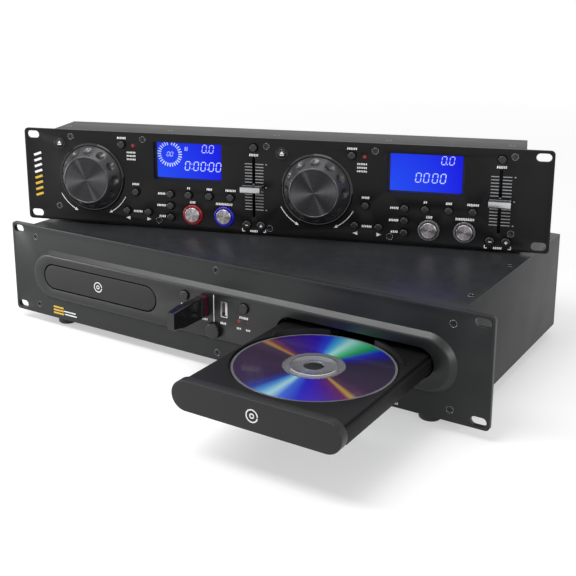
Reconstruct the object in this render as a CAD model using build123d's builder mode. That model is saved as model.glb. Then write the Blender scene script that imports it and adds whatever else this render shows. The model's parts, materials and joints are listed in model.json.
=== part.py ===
from build123d import *
import math
import os

# Dual disc player with its separate controller standing on the lid.
# X runs right along the player's front panel, Y to the rear, Z up.
# The origin is the centre of the player's rack slots, on the panel's front face.
# On both panels a place is given as (x from the panel's middle, height above its bottom edge),
# and a depth runs from the panel's front face into the unit.

os.makedirs("parts", exist_ok=True)

# Rack panels
panel_wide = 482.6
panel_high = 88.1
panel_corner = 3.5
slot_pitch_x = 465.1
slot_pitch_z = 76.2
slot_long = 12.5
slot_high = 7.0

# Player case
panel_thick = 4.0
sheet = 1.2
box_wide = 432.5
box_deep = 231.0
box_floor = 0.8
box_top = 86.8
flange_wide = 13.0
foot_radius = 9.5
foot_high = 9.3
foot_x = box_wide / 2 - 27.25
foot_front_depth = 15.5
foot_rear_depth = 212.0

# Raised stadium on the player's front
boss_wide = 430.2
boss_high = 48.8
boss_height = 42.5
boss_proud = 3.9
boss_bevel = 4.3
boss_round = 3.0

# Trays, doors and disc
tray_x = 130.0
mouth_wide = 136.0
mouth_high = 24.8
door_gap = 0.7
door_thick = 8.0
tray_travel = 138.0
disc_depth = 77.0
disc_radius = 60.0
disc_hole = 7.5
disc_thick = 1.2
disc_lift = 0.1
deck_half = 63.0
deck_top = 49.4
deck_under = 44.6
deck_rear = 73.0
recess_radius = 61.6
recess_deep = 2.4
small_recess_radius = 40.5
small_recess_deep = 1.0
rail_half = 66.0
rail_wide = 9.0
rail_top = 46.9
rail_under = 36.9
rail_rear = 108.0
web_thick = 5.0
tray_slot_half = 19.0
lip_thick = 2.6
lip_high = 2.5
lip_start = 30.0
lip_end = 72.0

# Loader frames behind the trays
run_gap = 0.3
side_gap = 0.6
wall_thick = 3.0
frame_under = 26.0
frame_floor = 3.0
frame_front = 6.5
frame_top = 53.0
ledge_wide = 6.0
ledge_thick = 3.0
keeper_wide = 2.2
keeper_thick = 2.0
bridge_half = 16.0
bridge_thick = 3.0
puck_radius = 14.0
puck_under = 49.9
motor_radius = 13.0
motor_high = 8.0
shaft_radius = 1.0
shaft_gap = 0.2
turntable_radius = 14.0
turntable_top = 45.5
turntable_thick = 3.0
hub_radius = 7.2
hub_top = 46.6
rod_radius = 1.5
rod_x = 12.0
rod_height = 35.5
rod_start = 15.0
rod_end = 74.0
rod_block_half = 18.0
rod_block_thick = 3.0
rod_block_top = 38.0
sled_half = 15.5
sled_start = 24.0
sled_end = 46.0
sled_under = 32.5
sled_top = 42.0
lens_radius = 4.0
lens_high = 2.0
post_radius = 4.0
post_x = 60.0
post_front = -60.0
post_rear = 100.0

# Buttons and what they press
hole_gap = 0.4
hold_gap = 0.3
lip_over = 1.0
lip_depth = 1.0
stem_radius = 1.5
press_travel = 1.2
switch_wide = 6.0
switch_deep = 3.5
board_thick = 1.6
edge_round = 0.5
dome_round = 1.1

# Player front controls
open_button_x = 30.5
open_button_height = 54.0
open_button_radius = 4.3
open_button_proud = 2.0
power_button_height = 28.8
power_button_radius = 6.7
power_button_proud = 4.0
usb_x = 10.2
usb_height = 48.8
usb_wide = 6.6
usb_high = 13.7
usb_wall = 0.5
usb_inset = 0.4
usb_shell_deep = 12.0
tongue_wide = 1.6
tongue_high = 11.0
tongue_inset = 2.0
tongue_offset = 0.9
plug_wide = 4.5
plug_high = 12.0
plug_long = 10.5
plug_slot_wide = 2.2
plug_slot_high = 11.4
plug_slot_deep = 9.5
stick_wide = 8.5
stick_high = 18.0
stick_long = 45.0
stick_gap = 0.3
stick_taper_long = 13.0
stick_tip_high = 15.0
lamp_radius = 1.6
lamp_gap = 0.15
lamp_proud = 0.3
player_lamps = [(25.4, 42.0), (34.2, 42.1)]
front_board_depth = 18.0
front_board_half = 51.0
front_board_under = 12.0
front_board_top = 74.0
front_window_wide = 112.0
front_window_high = 70.0
wall_window_wide = 141.0
wall_window_high = 31.0

# Main board, supply and rear sockets
main_board_under = 12.0
main_board_half = 50.0
main_board_front = 40.0
main_board_rear = 224.0
board_post_radius = 3.0
board_post_inset = 6.0
large_chip = 22.0
large_chip_places = [(-15.0, 110.0), (22.0, 140.0)]
small_chip_wide = 14.0
small_chip_deep = 9.0
small_chip_places = [(-25.0, 75.0), (10.0, 78.0)]
chip_high = 2.4
capacitor_xs = [-39.5, -26.5, -13.5, -0.5]
capacitor_y = 172.0
capacitor_radius = 4.5
capacitor_high = 13.0
supply_under = 10.0
supply_left = 62.0
supply_right = box_wide / 2 - 16.25
supply_front = 196.0
supply_rear = 232.0
transformer_x = 95.0
transformer_wide = 44.0
transformer_deep = 28.0
transformer_high = 34.0
jack_radius = 4.2
jack_proud = 8.0
jack_xs = [-44.0, -28.0]
jack_heights = [24.0, 40.0]
jack_block_deep = 14.0
jack_block_edge = 7.0
jack_wall = 1.4
link_foot_deep = 6.0
link_foot_inset = 1.0
link_radius = 6.8
link_proud = 3.0
link_pin_radius = 0.6
link_pin_circle = 3.4
link_deep = 8.0
player_link_xs = [5.0, 30.0]
player_link_height = 30.0
inlet_x = 150.0
inlet_height = 32.0
inlet_wide = 27.0
inlet_high = 20.0
inlet_deep = 20.0
inlet_proud = 1.5
inlet_hollow_deep = 14.0
inlet_wall = 2.0
inlet_pin_pitch = 7.0
inlet_pin_drop = 1.0
inlet_pin_rise = 3.0
inlet_pin_wide = 1.8
inlet_pin_high = 4.0

# Screws
screw_head = 3.0
screw_head_deep = 1.7
screw_shank = 1.5
screw_long = 7.0
screw_gap = 0.12
cross_long = 3.2
cross_wide = 0.7
cross_deep = 0.9
upper_screw_x = box_wide / 2 - 5.95
lower_screw_x = box_wide / 2 - 5.75
player_screw_places = [
    (-upper_screw_x, 77.0), (upper_screw_x, 77.0), (-lower_screw_x, 9.6), (lower_screw_x, 9.6), (0, 80.5), (0, 7.0)]
lid_screw_x = box_wide / 2 - 6.85
lid_screw_depths = [35.0, 120.0, 205.0]

# Controller case: its panel's bottom middle, and its turn about Z
controller_x = -1.3
controller_y = 87.7
controller_lift = 89.9
controller_turn = 17.9
controller_thick = 3.0
housing_wide = 437.0
housing_rear = 60.0
housing_under = 0.9
housing_top = 85.4
pad_radius = 8.0
pad_gap = 0.1
pad_x = 188.0
pad_depths = [14.0, 48.0]
housing_half = housing_wide / 2
top_screw_xs = [-(housing_half - 8.5), -106.0, -2.5, 100.0, housing_half - 12.5]
top_screw_depth = 31.0
controller_screw_places = [
    (-193.7, 81.7), (-121.7, 81.8), (-4.3, 80.8), (92.7, 81.2), (housing_half - 9.2, 81.6),
    (-(housing_half - 9.6), 14.2), (-107.7, 6.2), (-1.3, 5.5), (107.0, 5.7), (housing_half - 9.2, 15.3)]
control_board_depth = 16.0
control_board_half = housing_half - 6.5
control_post_x = control_board_half - 3.0
control_board_under = 6.0
control_board_top = 82.0
control_post_radius = 2.5
control_posts = [
    (-control_post_x, 30.0), (-control_post_x, 60.0), (-33.0, 22.0), (-33.0, 60.0),
    (182.0, 22.0), (182.0, 60.0), (control_post_x, 30.0), (control_post_x, 60.0)]
control_link_xs = [-30.0, 30.0]
control_link_height = 42.0

# One deck of the controller, x from the deck's middle
deck_x = {"left": -107.5, "right": 107.5}
jog_place = (-65.7, 44.1)
jog_bezel_radius = 32.4
jog_bezel_proud = 2.5
jog_base_radius = 29.8
jog_base_deep = 2.0
jog_rim_proud = 2.5
jog_neck_radius = 22.6
jog_neck_proud = 14.0
jog_top_radius = 21.7
jog_top_proud = 15.0
jog_wall = 2.2
jog_hub_radius = 6.0
jog_shaft_radius = 3.0
jog_shaft_long = 14.0
jog_hole_gap = 0.5
dimple_count = 12
dimple_sphere = 6.0
dimple_deep = 1.7
encoder_radius = 8.0
encoder_front = 8.0
encoder_gap = 0.15
small_button_radius = 3.5
small_button_proud = 2.8
small_buttons = {
    "jog_mode_button": (-35.0, 76.3),
    "plus_ten_button": (-22.4, 32.2),
    "track_back_button": (-31.5, 13.9),
    "track_next_button": (-10.3, 13.5),
    "time_button": (11.85, 32.0),
    "single_button": (11.85, 21.0),
    "program_button": (11.85, 10.1),
    "loop_in_button": (29.4, 32.0),
    "loop_out_button": (49.4, 32.0),
    "reloop_button": (69.6, 32.0),
    "pitch_button": (91.6, 79.1)}
bend_button_radius = 4.0
bend_button_proud = 1.6
bend_buttons = {
    "bend_minus_button": (84.7, 7.6),
    "bend_plus_button": (98.0, 7.6)}
eject_place = (-97.6, 75.5)
eject_radius = 4.0
eject_proud = 1.5
eject_ring_radius = 5.5
eject_ring_proud = 0.7
ring_buttons = {
    "cue_button": (33.1, 13.8),
    "play_button": (63.3, 14.0)}
ring_outer = 9.4
ring_inner = 7.5
ring_proud = 1.6
ring_fit = 0.15
ring_cap_radius = 7.0
ring_cap_proud = 3.0
ring_cap_deep = 10.8
ring_cap_dish = 0.35
deck_lamp = (-23.9, 75.8)
window_centre = (28.7, 62.85)
window_wide = 65.4
window_high = 34.7
window_round = 1.5
display_edge = 2.0
display_depth = 5.5
display_thick = 2.6
fader_x = 91.5
fader_height = 42.6
fader_slot_long = 55.6
fader_slot_wide = 2.4
fader_rest = 0.7
fader_wide = 18.2
fader_high = 5.0
fader_front = 14.0
fader_back = 2.0
fader_stem_wide = 1.6
fader_stem_high = 6.0
fader_stem_deep = 9.0
fader_body_wide = 9.0
fader_body_over = 1.5
fader_body_front = 3.0
fader_groove_deep = 7.5
fader_waist = 1.0

# Worked out from the sizes above
bottom = -panel_high / 2
rear = panel_thick + box_deep
lid_under = bottom + box_top
lid_top = lid_under + sheet
recess_floor = deck_top - recess_deep
turn = math.radians(controller_turn)
face = Plane(origin=(0, 0, bottom), x_dir=(1, 0, 0), z_dir=(0, -1, 0))
deck = Plane(
    origin=(controller_x, controller_y, bottom + controller_lift),
    x_dir=(math.cos(turn), math.sin(turn), 0),
    z_dir=(math.sin(turn), -math.cos(turn), 0))
back = Plane(origin=(0, rear, bottom), x_dir=(1, 0, 0), z_dir=(0, -1, 0))
disc_y = {"left": disc_depth, "right": disc_depth - tray_travel}
side_x = {"left": -tray_x, "right": tray_x}


def save(piece, name):
    piece.part.label = name
    export_step(piece.part, f"parts/{name}.step")


def save_group(pieces, name):
    """One node of solids that touch but stay separate pieces."""
    group = Compound([solid for piece in pieces for solid in piece.part.solids()])
    group.label = name
    export_step(group, f"parts/{name}.step")


def spot(plane, place):
    """The plane moved to a place on the same face."""
    x, height = place
    return Plane(origin=plane.from_local_coords((x, height, 0)), x_dir=plane.x_dir, z_dir=plane.z_dir)


def level(height, x=0.0, y=0.0):
    """A level plane at a height above the player panel's bottom edge."""
    return Plane(origin=(x, y, bottom + height))


def across(plane):
    """The plane through a place whose local y runs out of the face, for turned profiles."""
    return Plane(origin=plane.origin, x_dir=plane.x_dir, z_dir=plane.x_dir.cross(plane.z_dir))


def outward(plane):
    return Axis(plane.origin, plane.z_dir)


def screws(places):
    """Countersunk screws with cross recesses, one solid at each plane in places."""
    with BuildPart() as group:
        for at in places:
            with BuildSketch(across(at)):
                with BuildLine():
                    Polyline(
                        (0, 0), (screw_head, 0), (screw_shank, -screw_head_deep),
                        (screw_shank, -screw_long), (0, -screw_long), close=True)
                make_face()
            revolve(axis=outward(at))
            with BuildSketch(at):
                Rectangle(cross_long, cross_wide)
                Rectangle(cross_wide, cross_long)
            extrude(amount=-cross_deep, mode=Mode.SUBTRACT)
    return group


def screw_hole(at):
    """The cutter for one screw: its own outline plus the gap."""
    with BuildPart(mode=Mode.PRIVATE) as cutter:
        with BuildSketch(across(at)):
            with BuildLine():
                Polyline(
                    (0, 1), (screw_head + screw_gap, 1), (screw_head + screw_gap, 0),
                    (screw_shank + screw_gap, -screw_head_deep),
                    (screw_shank + screw_gap, -screw_long - screw_gap),
                    (0, -screw_long - screw_gap), close=True)
            make_face()
        revolve(axis=outward(at))
    return cutter.part


def push_button(name, at, radius, proud, thick, board):
    """A domed cap held behind the panel by its lip, with a stem to its switch."""
    lip_front = thick + hold_gap
    stem_end = board - switch_deep - press_travel - hold_gap
    with BuildPart() as button:
        with BuildSketch(at.offset(-lip_front)):
            Circle(radius)
        extrude(amount=lip_front + proud)
        fillet(button.edges().sort_by(outward(at))[-1], min(dome_round, proud - 0.2))
        with BuildSketch(at.offset(-lip_front)):
            Circle(radius + lip_over)
        extrude(amount=-lip_depth)
        with BuildSketch(at.offset(-lip_front - lip_depth)):
            Circle(stem_radius)
        extrude(amount=-(stem_end - lip_front - lip_depth))
    save(button, name)


def link_socket(plane, places, depth_front):
    """Round link sockets: a shell round a pin block, opening along the plane's z."""
    with BuildPart() as group:
        with BuildSketch(plane):
            with Locations(*places):
                Circle(link_radius)
        extrude(amount=-link_proud)
        with BuildSketch(plane):
            with Locations(*places):
                Circle(link_radius)
        extrude(amount=depth_front)
        with BuildSketch(plane.offset(-link_proud)):
            with Locations(*places):
                Circle(link_radius - 1.0)
        extrude(amount=link_proud + link_deep / 2, mode=Mode.SUBTRACT)
        for place in places:
            with BuildSketch(spot(plane, place).offset(link_deep / 2)):
                with PolarLocations(link_pin_circle, 8):
                    Circle(link_pin_radius)
            extrude(amount=-link_deep / 2)
    return group


# Player: chassis, lid, front panel, screws and feet
with BuildPart() as chassis:
    with BuildSketch(face.offset(-panel_thick)):
        with Locations((0, (box_floor + box_top) / 2)):
            Rectangle(box_wide, box_top - box_floor)
    extrude(amount=-box_deep)
    with BuildSketch(face.offset(-panel_thick - sheet)):
        with Locations((0, (box_floor + sheet + box_top + 1) / 2)):
            Rectangle(box_wide - 2 * sheet, box_top + 1 - box_floor - sheet)
    extrude(amount=-(box_deep - 2 * sheet), mode=Mode.SUBTRACT)
    with BuildSketch(Plane.XY.offset(lid_under - sheet)):
        for side in (-1, 1):
            with Locations((side * (box_wide - flange_wide) / 2, panel_thick + box_deep / 2)):
                Rectangle(flange_wide, box_deep)
    extrude(amount=sheet)
    with BuildSketch(face.offset(-panel_thick)):
        with Locations(*[(x, boss_height) for x in side_x.values()]):
            Rectangle(wall_window_wide, wall_window_high)
        with Locations((0, panel_high / 2)):
            Rectangle(front_window_wide, front_window_high)
    extrude(amount=-sheet, mode=Mode.SUBTRACT)
    with BuildSketch(back):
        with Locations(*[(x, z) for x in jack_xs for z in jack_heights]):
            Circle(jack_radius + hole_gap)
        with Locations(*[(x, player_link_height) for x in player_link_xs]):
            Circle(link_radius + hole_gap)
        with Locations((inlet_x, inlet_height)):
            Rectangle(inlet_wide + 2 * hole_gap, inlet_high + 2 * hole_gap)
        with Locations((-150, panel_high / 2)):
            with GridLocations(9, 0, 8, 1):
                SlotOverall(40, 3, rotation=90)
    extrude(amount=sheet, mode=Mode.SUBTRACT)
    for side in (-1, 1):
        for depth in lid_screw_depths:
            add(screw_hole(Plane(origin=(side * lid_screw_x, depth, lid_top))), mode=Mode.SUBTRACT)
    for place in player_screw_places:
        add(screw_hole(spot(face, place)), mode=Mode.SUBTRACT)
save(chassis, "player_chassis")

with BuildPart() as lid:
    with BuildSketch(Plane.XY.offset(lid_under)):
        with Locations((0, panel_thick + box_deep / 2)):
            Rectangle(box_wide, box_deep)
    extrude(amount=sheet)
    for side in (-1, 1):
        for depth in lid_screw_depths:
            add(screw_hole(Plane(origin=(side * lid_screw_x, depth, lid_top))), mode=Mode.SUBTRACT)
save(lid, "player_top_cover")

with BuildPart() as front_panel:
    with BuildSketch(face):
        with Locations((0, panel_high / 2)):
            RectangleRounded(panel_wide, panel_high, panel_corner)
            with GridLocations(slot_pitch_x, slot_pitch_z, 2, 2):
                SlotOverall(slot_long, slot_high, mode=Mode.SUBTRACT)
    extrude(amount=-panel_thick)
    with BuildSketch(face):
        with Locations((0, boss_height)):
            SlotOverall(boss_wide, boss_high)
    extrude(amount=boss_proud, taper=math.degrees(math.atan2(boss_bevel, boss_proud)))
    fillet(front_panel.faces().sort_by(outward(face))[-1].edges(), boss_round)
    with BuildSketch(face.offset(boss_proud)):
        with Locations(*[(x, boss_height) for x in side_x.values()]):
            SlotOverall(mouth_wide, mouth_high)
        with Locations((-open_button_x, open_button_height), (open_button_x, open_button_height)):
            Circle(open_button_radius + hole_gap)
        with Locations((0, power_button_height)):
            Circle(power_button_radius + hole_gap)
        with Locations((-usb_x, usb_height), (usb_x, usb_height)):
            Rectangle(usb_wide + 2 * hole_gap, usb_high + 2 * hole_gap)
        with Locations(*player_lamps):
            Circle(lamp_radius + lamp_gap)
    extrude(amount=-(boss_proud + panel_thick), mode=Mode.SUBTRACT)
    for place in player_screw_places:
        add(screw_hole(spot(face, place)), mode=Mode.SUBTRACT)
save(front_panel, "player_front_panel")

screw_planes = [spot(face, place) for place in player_screw_places]
for side in (-1, 1):
    for depth in lid_screw_depths:
        screw_planes.append(Plane(origin=(side * lid_screw_x, depth, lid_top)))
save(screws(screw_planes), "player_screws")

with BuildPart() as feet:
    with BuildSketch(level(box_floor)):
        with Locations(
                *[(x, y) for x in (-foot_x, foot_x) for y in (foot_front_depth, foot_rear_depth)]):
            Circle(foot_radius)
    extrude(amount=-foot_high, taper=4)
    chamfer(feet.edges().group_by(Axis.Z)[0], 1.0)
save(feet, "player_feet")

# Player: loader frames with clamps, motors and pickups
with BuildPart() as drives:
    for side, x in side_x.items():
        low = level(frame_under, x, disc_depth)
        inner = rail_half + side_gap
        outer = inner + wall_thick
        front = frame_front - disc_depth
        long = rail_rear + 4.0 - front
        middle = front + long / 2
        with BuildSketch(low):
            with Locations((0, middle)):
                Rectangle(2 * outer, long)
        extrude(amount=frame_floor)
        with BuildSketch(low):
            for way in (-1, 1):
                with Locations((way * (inner + outer) / 2, middle)):
                    Rectangle(wall_thick, long)
        extrude(amount=frame_top - frame_under)
        with BuildSketch(level(rail_under - run_gap - ledge_thick, x, disc_depth)):
            for way in (-1, 1):
                with Locations((way * (inner - ledge_wide / 2), middle)):
                    Rectangle(ledge_wide, long)
        extrude(amount=ledge_thick)
        with BuildSketch(level(rail_top + run_gap, x, disc_depth)):
            for way in (-1, 1):
                with Locations((way * (inner - keeper_wide / 2), middle)):
                    Rectangle(keeper_wide, long)
        extrude(amount=keeper_thick)
        with BuildSketch(level(frame_top, x, disc_depth)):
            Rectangle(2 * outer, 2 * bridge_half)
        extrude(amount=bridge_thick)
        with BuildSketch(level(frame_under, x, disc_depth)):
            with Locations(*[(px, py) for px in (-post_x, post_x) for py in (post_front, post_rear)]):
                Circle(post_radius)
        extrude(amount=-(frame_under - box_floor - sheet))
        with BuildSketch(level(frame_under + frame_floor, x, disc_depth)):
            with Locations((0, rod_start + rod_block_thick / 2), (0, rod_end - rod_block_thick / 2)):
                Rectangle(2 * rod_block_half, rod_block_thick)
        extrude(amount=rod_block_top - frame_under - frame_floor)
        with BuildSketch(level(puck_under, x, disc_depth)):
            Circle(puck_radius)
        extrude(amount=frame_top - puck_under)
        with BuildSketch(level(frame_under + frame_floor, x, disc_depth)):
            Circle(motor_radius)
        extrude(amount=motor_high)
        with BuildSketch(Plane(origin=(x, disc_depth + rod_start, bottom + rod_height),
                               x_dir=(1, 0, 0), z_dir=(0, 1, 0))):
            with Locations((-rod_x, 0), (rod_x, 0)):
                Circle(rod_radius)
        extrude(amount=rod_end - rod_start)
        with BuildSketch(level(sled_under, x, disc_depth)):
            with Locations((0, (sled_start + sled_end) / 2)):
                Rectangle(2 * sled_half, sled_end - sled_start)
        extrude(amount=sled_top - sled_under)
        with BuildSketch(level(sled_top, x, disc_depth)):
            with Locations((0, (sled_start + sled_end) / 2)):
                Circle(lens_radius)
        extrude(amount=lens_high)
        with BuildSketch(level(frame_under, x, disc_depth)):
            Circle(shaft_radius + shaft_gap)
        extrude(amount=frame_floor + motor_high, mode=Mode.SUBTRACT)
save(drives, "disc_drives")

for side, x in side_x.items():
    with BuildPart() as spindle:
        with BuildSketch(level(frame_under, x, disc_depth)):
            Circle(shaft_radius)
        extrude(amount=turntable_top - frame_under)
        with BuildSketch(level(turntable_top - turntable_thick, x, disc_depth)):
            Circle(turntable_radius)
        extrude(amount=turntable_thick)
        with BuildSketch(level(turntable_top, x, disc_depth)):
            Circle(hub_radius)
        extrude(amount=hub_top - turntable_top, taper=20)
        with BuildSketch(level(frame_under + frame_floor + motor_high + run_gap, x, disc_depth)):
            Circle(hub_radius)
        extrude(amount=turntable_top - frame_under - frame_floor - motor_high - run_gap)
    save(spindle, f"{side}_spindle")

# Player: trays, doors and the disc
tray_front = door_thick - boss_proud - disc_depth
for side, x in side_x.items():
    with BuildPart() as tray:
        with BuildSketch(level(deck_under, x, disc_y[side])):
            with Locations((0, (tray_front + deck_rear) / 2)):
                Rectangle(2 * deck_half, deck_rear - tray_front)
        extrude(amount=deck_top - deck_under)
        with BuildSketch(level(rail_under, x, disc_y[side])):
            for way in (-1, 1):
                with Locations((way * (rail_half - rail_wide / 2), (tray_front + rail_rear) / 2)):
                    Rectangle(rail_wide, rail_rear - tray_front)
        extrude(amount=rail_top - rail_under)
        with BuildSketch(level(rail_under, x, disc_y[side])):
            with Locations((0, tray_front + web_thick / 2)):
                Rectangle(2 * deck_half - 2, web_thick)
        extrude(amount=deck_top - rail_under)
        with BuildSketch(level(recess_floor, x, disc_y[side])):
            Circle(recess_radius)
        extrude(amount=recess_deep + 1, mode=Mode.SUBTRACT)
        with BuildSketch(level(recess_floor - small_recess_deep, x, disc_y[side])):
            Circle(small_recess_radius)
        extrude(amount=small_recess_deep, mode=Mode.SUBTRACT)
        with BuildSketch(level(deck_top, x, disc_y[side])):
            for first in (lip_start, 180 - lip_end):
                with BuildLine():
                    inside = CenterArc((0, 0), recess_radius, first, lip_end - lip_start)
                    outside = CenterArc((0, 0), recess_radius + lip_thick, first, lip_end - lip_start)
                    Line(inside @ 0, outside @ 0)
                    Line(inside @ 1, outside @ 1)
                make_face()
        extrude(amount=lip_high)
        with BuildSketch(level(rail_under, x, disc_y[side])):
            Circle(tray_slot_half)
            with Locations((0, (deck_rear + 1) / 2)):
                Rectangle(2 * tray_slot_half, deck_rear + 1)
        extrude(amount=deck_top - rail_under, mode=Mode.SUBTRACT)
    save(tray, f"{side}_tray")

    door_back = Plane(
        origin=(x, disc_y[side] + tray_front, bottom), x_dir=(1, 0, 0), z_dir=(0, -1, 0))
    with BuildPart() as door:
        with BuildSketch(door_back):
            with Locations((0, boss_height)):
                SlotOverall(mouth_wide - 2 * door_gap, mouth_high - 2 * door_gap)
        extrude(amount=door_thick)
        fillet(door.faces().sort_by(Axis.Y)[0].edges(), edge_round)
    save(door, f"{side}_tray_door")

with BuildPart() as disc:
    with BuildSketch(level(recess_floor + disc_lift, tray_x, disc_y["right"])):
        Circle(disc_radius)
        Circle(disc_hole, mode=Mode.SUBTRACT)
    extrude(amount=disc_thick)
save(disc, "compact_disc")

# Player: buttons and flash stick
for side, way in (("left", -1), ("right", 1)):
    push_button(
        f"{side}_open_button",
        spot(face.offset(boss_proud), (way * open_button_x, open_button_height)),
        open_button_radius, open_button_proud, boss_proud + panel_thick,
        boss_proud + front_board_depth)
push_button(
    "power_button",
    spot(face.offset(boss_proud), (0, power_button_height)),
    power_button_radius, power_button_proud, boss_proud + panel_thick,
    boss_proud + front_board_depth)

with BuildPart() as stick:
    root = spot(face.offset(boss_proud + stick_gap), (-usb_x, usb_height))
    with BuildSketch(root):
        RectangleRounded(stick_wide, stick_high, 1.2)
    extrude(amount=stick_long - stick_taper_long)
    with BuildSketch(root.offset(stick_long - stick_taper_long)) as thick_end:
        RectangleRounded(stick_wide, stick_high, 1.2)
    with BuildSketch(root.offset(stick_long)) as thin_end:
        RectangleRounded(stick_wide - 1.5, stick_tip_high, 1.2)
    loft()
    with BuildSketch(root):
        Rectangle(plug_wide, plug_high)
    extrude(amount=-plug_long)
    with BuildSketch(root.offset(-plug_long)):
        with Locations((tongue_offset, 0)):
            Rectangle(plug_slot_wide, plug_slot_high)
    extrude(amount=plug_slot_deep, mode=Mode.SUBTRACT)
save(stick, "usb_stick")

# Player: boards, lamps and sockets
with BuildPart() as front_board:
    with BuildSketch(face.offset(-front_board_depth)):
        with Locations((0, (front_board_under + front_board_top) / 2)):
            Rectangle(2 * front_board_half, front_board_top - front_board_under)
    extrude(amount=-board_thick)
    with BuildSketch(face.offset(-panel_thick)):
        with Locations(*[(way * (front_board_half - board_post_inset), z) for way in (-1, 1)
                         for z in (front_board_under + board_post_inset,
                                   front_board_top - board_post_inset)]):
            Circle(board_post_radius)
    extrude(amount=-(front_board_depth - panel_thick))
    with BuildSketch(face.offset(-front_board_depth)):
        with Locations((-open_button_x, open_button_height), (open_button_x, open_button_height),
                       (0, power_button_height)):
            Rectangle(switch_wide, switch_wide)
    extrude(amount=switch_deep)
with BuildPart() as lamps:
    with BuildSketch(face.offset(-front_board_depth)):
        with Locations(*player_lamps):
            Circle(lamp_radius)
    extrude(amount=front_board_depth + boss_proud)
with BuildPart() as usb_shells:
    with BuildSketch(face.offset(boss_proud - usb_inset)):
        with Locations((-usb_x, usb_height), (usb_x, usb_height)):
            Rectangle(usb_wide, usb_high)
            Rectangle(usb_wide - 2 * usb_wall, usb_high - 2 * usb_wall, mode=Mode.SUBTRACT)
    extrude(amount=-(usb_shell_deep + boss_proud))
    with BuildSketch(face.offset(-usb_shell_deep + usb_inset)):
        with Locations((-usb_x, usb_height), (usb_x, usb_height)):
            Rectangle(usb_wide, usb_high)
    extrude(amount=-(front_board_depth - usb_shell_deep + usb_inset))
with BuildPart() as usb_tongues:
    with BuildSketch(face.offset(-usb_shell_deep + usb_inset)):
        with Locations((-usb_x + tongue_offset, usb_height), (usb_x + tongue_offset, usb_height)):
            Rectangle(tongue_wide, tongue_high)
    extrude(amount=usb_shell_deep - usb_inset + boss_proud - tongue_inset)
with BuildPart() as main_board:
    with BuildSketch(level(main_board_under)):
        with Locations((0, (main_board_front + main_board_rear) / 2)):
            Rectangle(2 * main_board_half, main_board_rear - main_board_front)
    extrude(amount=board_thick)
    with BuildSketch(level(main_board_under)):
        with Locations(*[(way * (main_board_half - board_post_inset), y) for way in (-1, 1)
                         for y in (main_board_front + board_post_inset,
                                   main_board_rear - board_post_inset)]):
            Circle(board_post_radius)
    extrude(amount=-(main_board_under - box_floor - sheet))
with BuildPart() as chips:
    with BuildSketch(level(main_board_under + board_thick)):
        with Locations(*large_chip_places):
            Rectangle(large_chip, large_chip)
        with Locations(*small_chip_places):
            Rectangle(small_chip_wide, small_chip_deep)
    extrude(amount=chip_high)
with BuildPart() as capacitors:
    with BuildSketch(level(main_board_under + board_thick)):
        with Locations(*[(x, capacitor_y) for x in capacitor_xs]):
            Circle(capacitor_radius)
    extrude(amount=capacitor_high)
with BuildPart() as supply_board:
    with BuildSketch(level(supply_under)):
        with Locations(((supply_left + supply_right) / 2, (supply_front + supply_rear) / 2)):
            Rectangle(supply_right - supply_left, supply_rear - supply_front)
    extrude(amount=board_thick)
    with BuildSketch(level(supply_under)):
        with Locations(*[(x, (supply_front + supply_rear) / 2)
                         for x in (supply_left + board_post_inset, supply_right - board_post_inset)]):
            Circle(board_post_radius)
    extrude(amount=-(supply_under - box_floor - sheet))
with BuildPart() as transformer:
    with BuildSketch(level(supply_under + board_thick)):
        with Locations((transformer_x, (supply_front + supply_rear) / 2)):
            Rectangle(transformer_wide, transformer_deep)
    extrude(amount=transformer_high)
with BuildPart() as mains_inlet:
    with BuildSketch(back.offset(sheet)):
        with Locations((inlet_x, inlet_height)):
            Rectangle(inlet_wide, inlet_high)
    extrude(amount=inlet_deep)
    with BuildSketch(back.offset(-inlet_proud)):
        with Locations((inlet_x, inlet_height)):
            Rectangle(inlet_wide, inlet_high)
    extrude(amount=inlet_proud + sheet)
    with BuildSketch(back.offset(-inlet_proud)):
        with Locations((inlet_x, inlet_height)):
            Rectangle(inlet_wide - 2 * inlet_wall, inlet_high - 2 * inlet_wall)
    extrude(amount=inlet_hollow_deep, mode=Mode.SUBTRACT)
    with BuildSketch(back.offset(inlet_hollow_deep - inlet_proud)):
        with Locations((inlet_x - inlet_pin_pitch, inlet_height - inlet_pin_drop),
                       (inlet_x + inlet_pin_pitch, inlet_height - inlet_pin_drop),
                       (inlet_x, inlet_height + inlet_pin_rise)):
            Rectangle(inlet_pin_wide, inlet_pin_high)
    extrude(amount=-(inlet_hollow_deep - inlet_wall))
    with BuildSketch(level(supply_under + board_thick)):
        with Locations((inlet_x, rear - sheet - inlet_deep / 2)):
            Rectangle(inlet_wide - 3 * inlet_wall, inlet_deep - 2 * inlet_wall)
    extrude(amount=inlet_height - inlet_high / 2 - supply_under - board_thick)
with BuildPart() as audio_jacks:
    jack_x = sum(jack_xs) / 2
    jack_z_top = max(jack_heights) + jack_block_edge
    with BuildSketch(level(main_board_under + board_thick)):
        with Locations((jack_x, rear - sheet - run_gap - jack_block_deep / 2)):
            Rectangle(jack_xs[1] - jack_xs[0] + 2 * jack_block_edge, jack_block_deep)
    extrude(amount=jack_z_top - main_board_under - board_thick)
    with BuildSketch(back.offset(sheet + run_gap)):
        with Locations(*[(x, z) for x in jack_xs for z in jack_heights]):
            Circle(jack_radius)
            Circle(jack_radius - jack_wall, mode=Mode.SUBTRACT)
    extrude(amount=-(jack_proud + sheet + run_gap))
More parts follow.
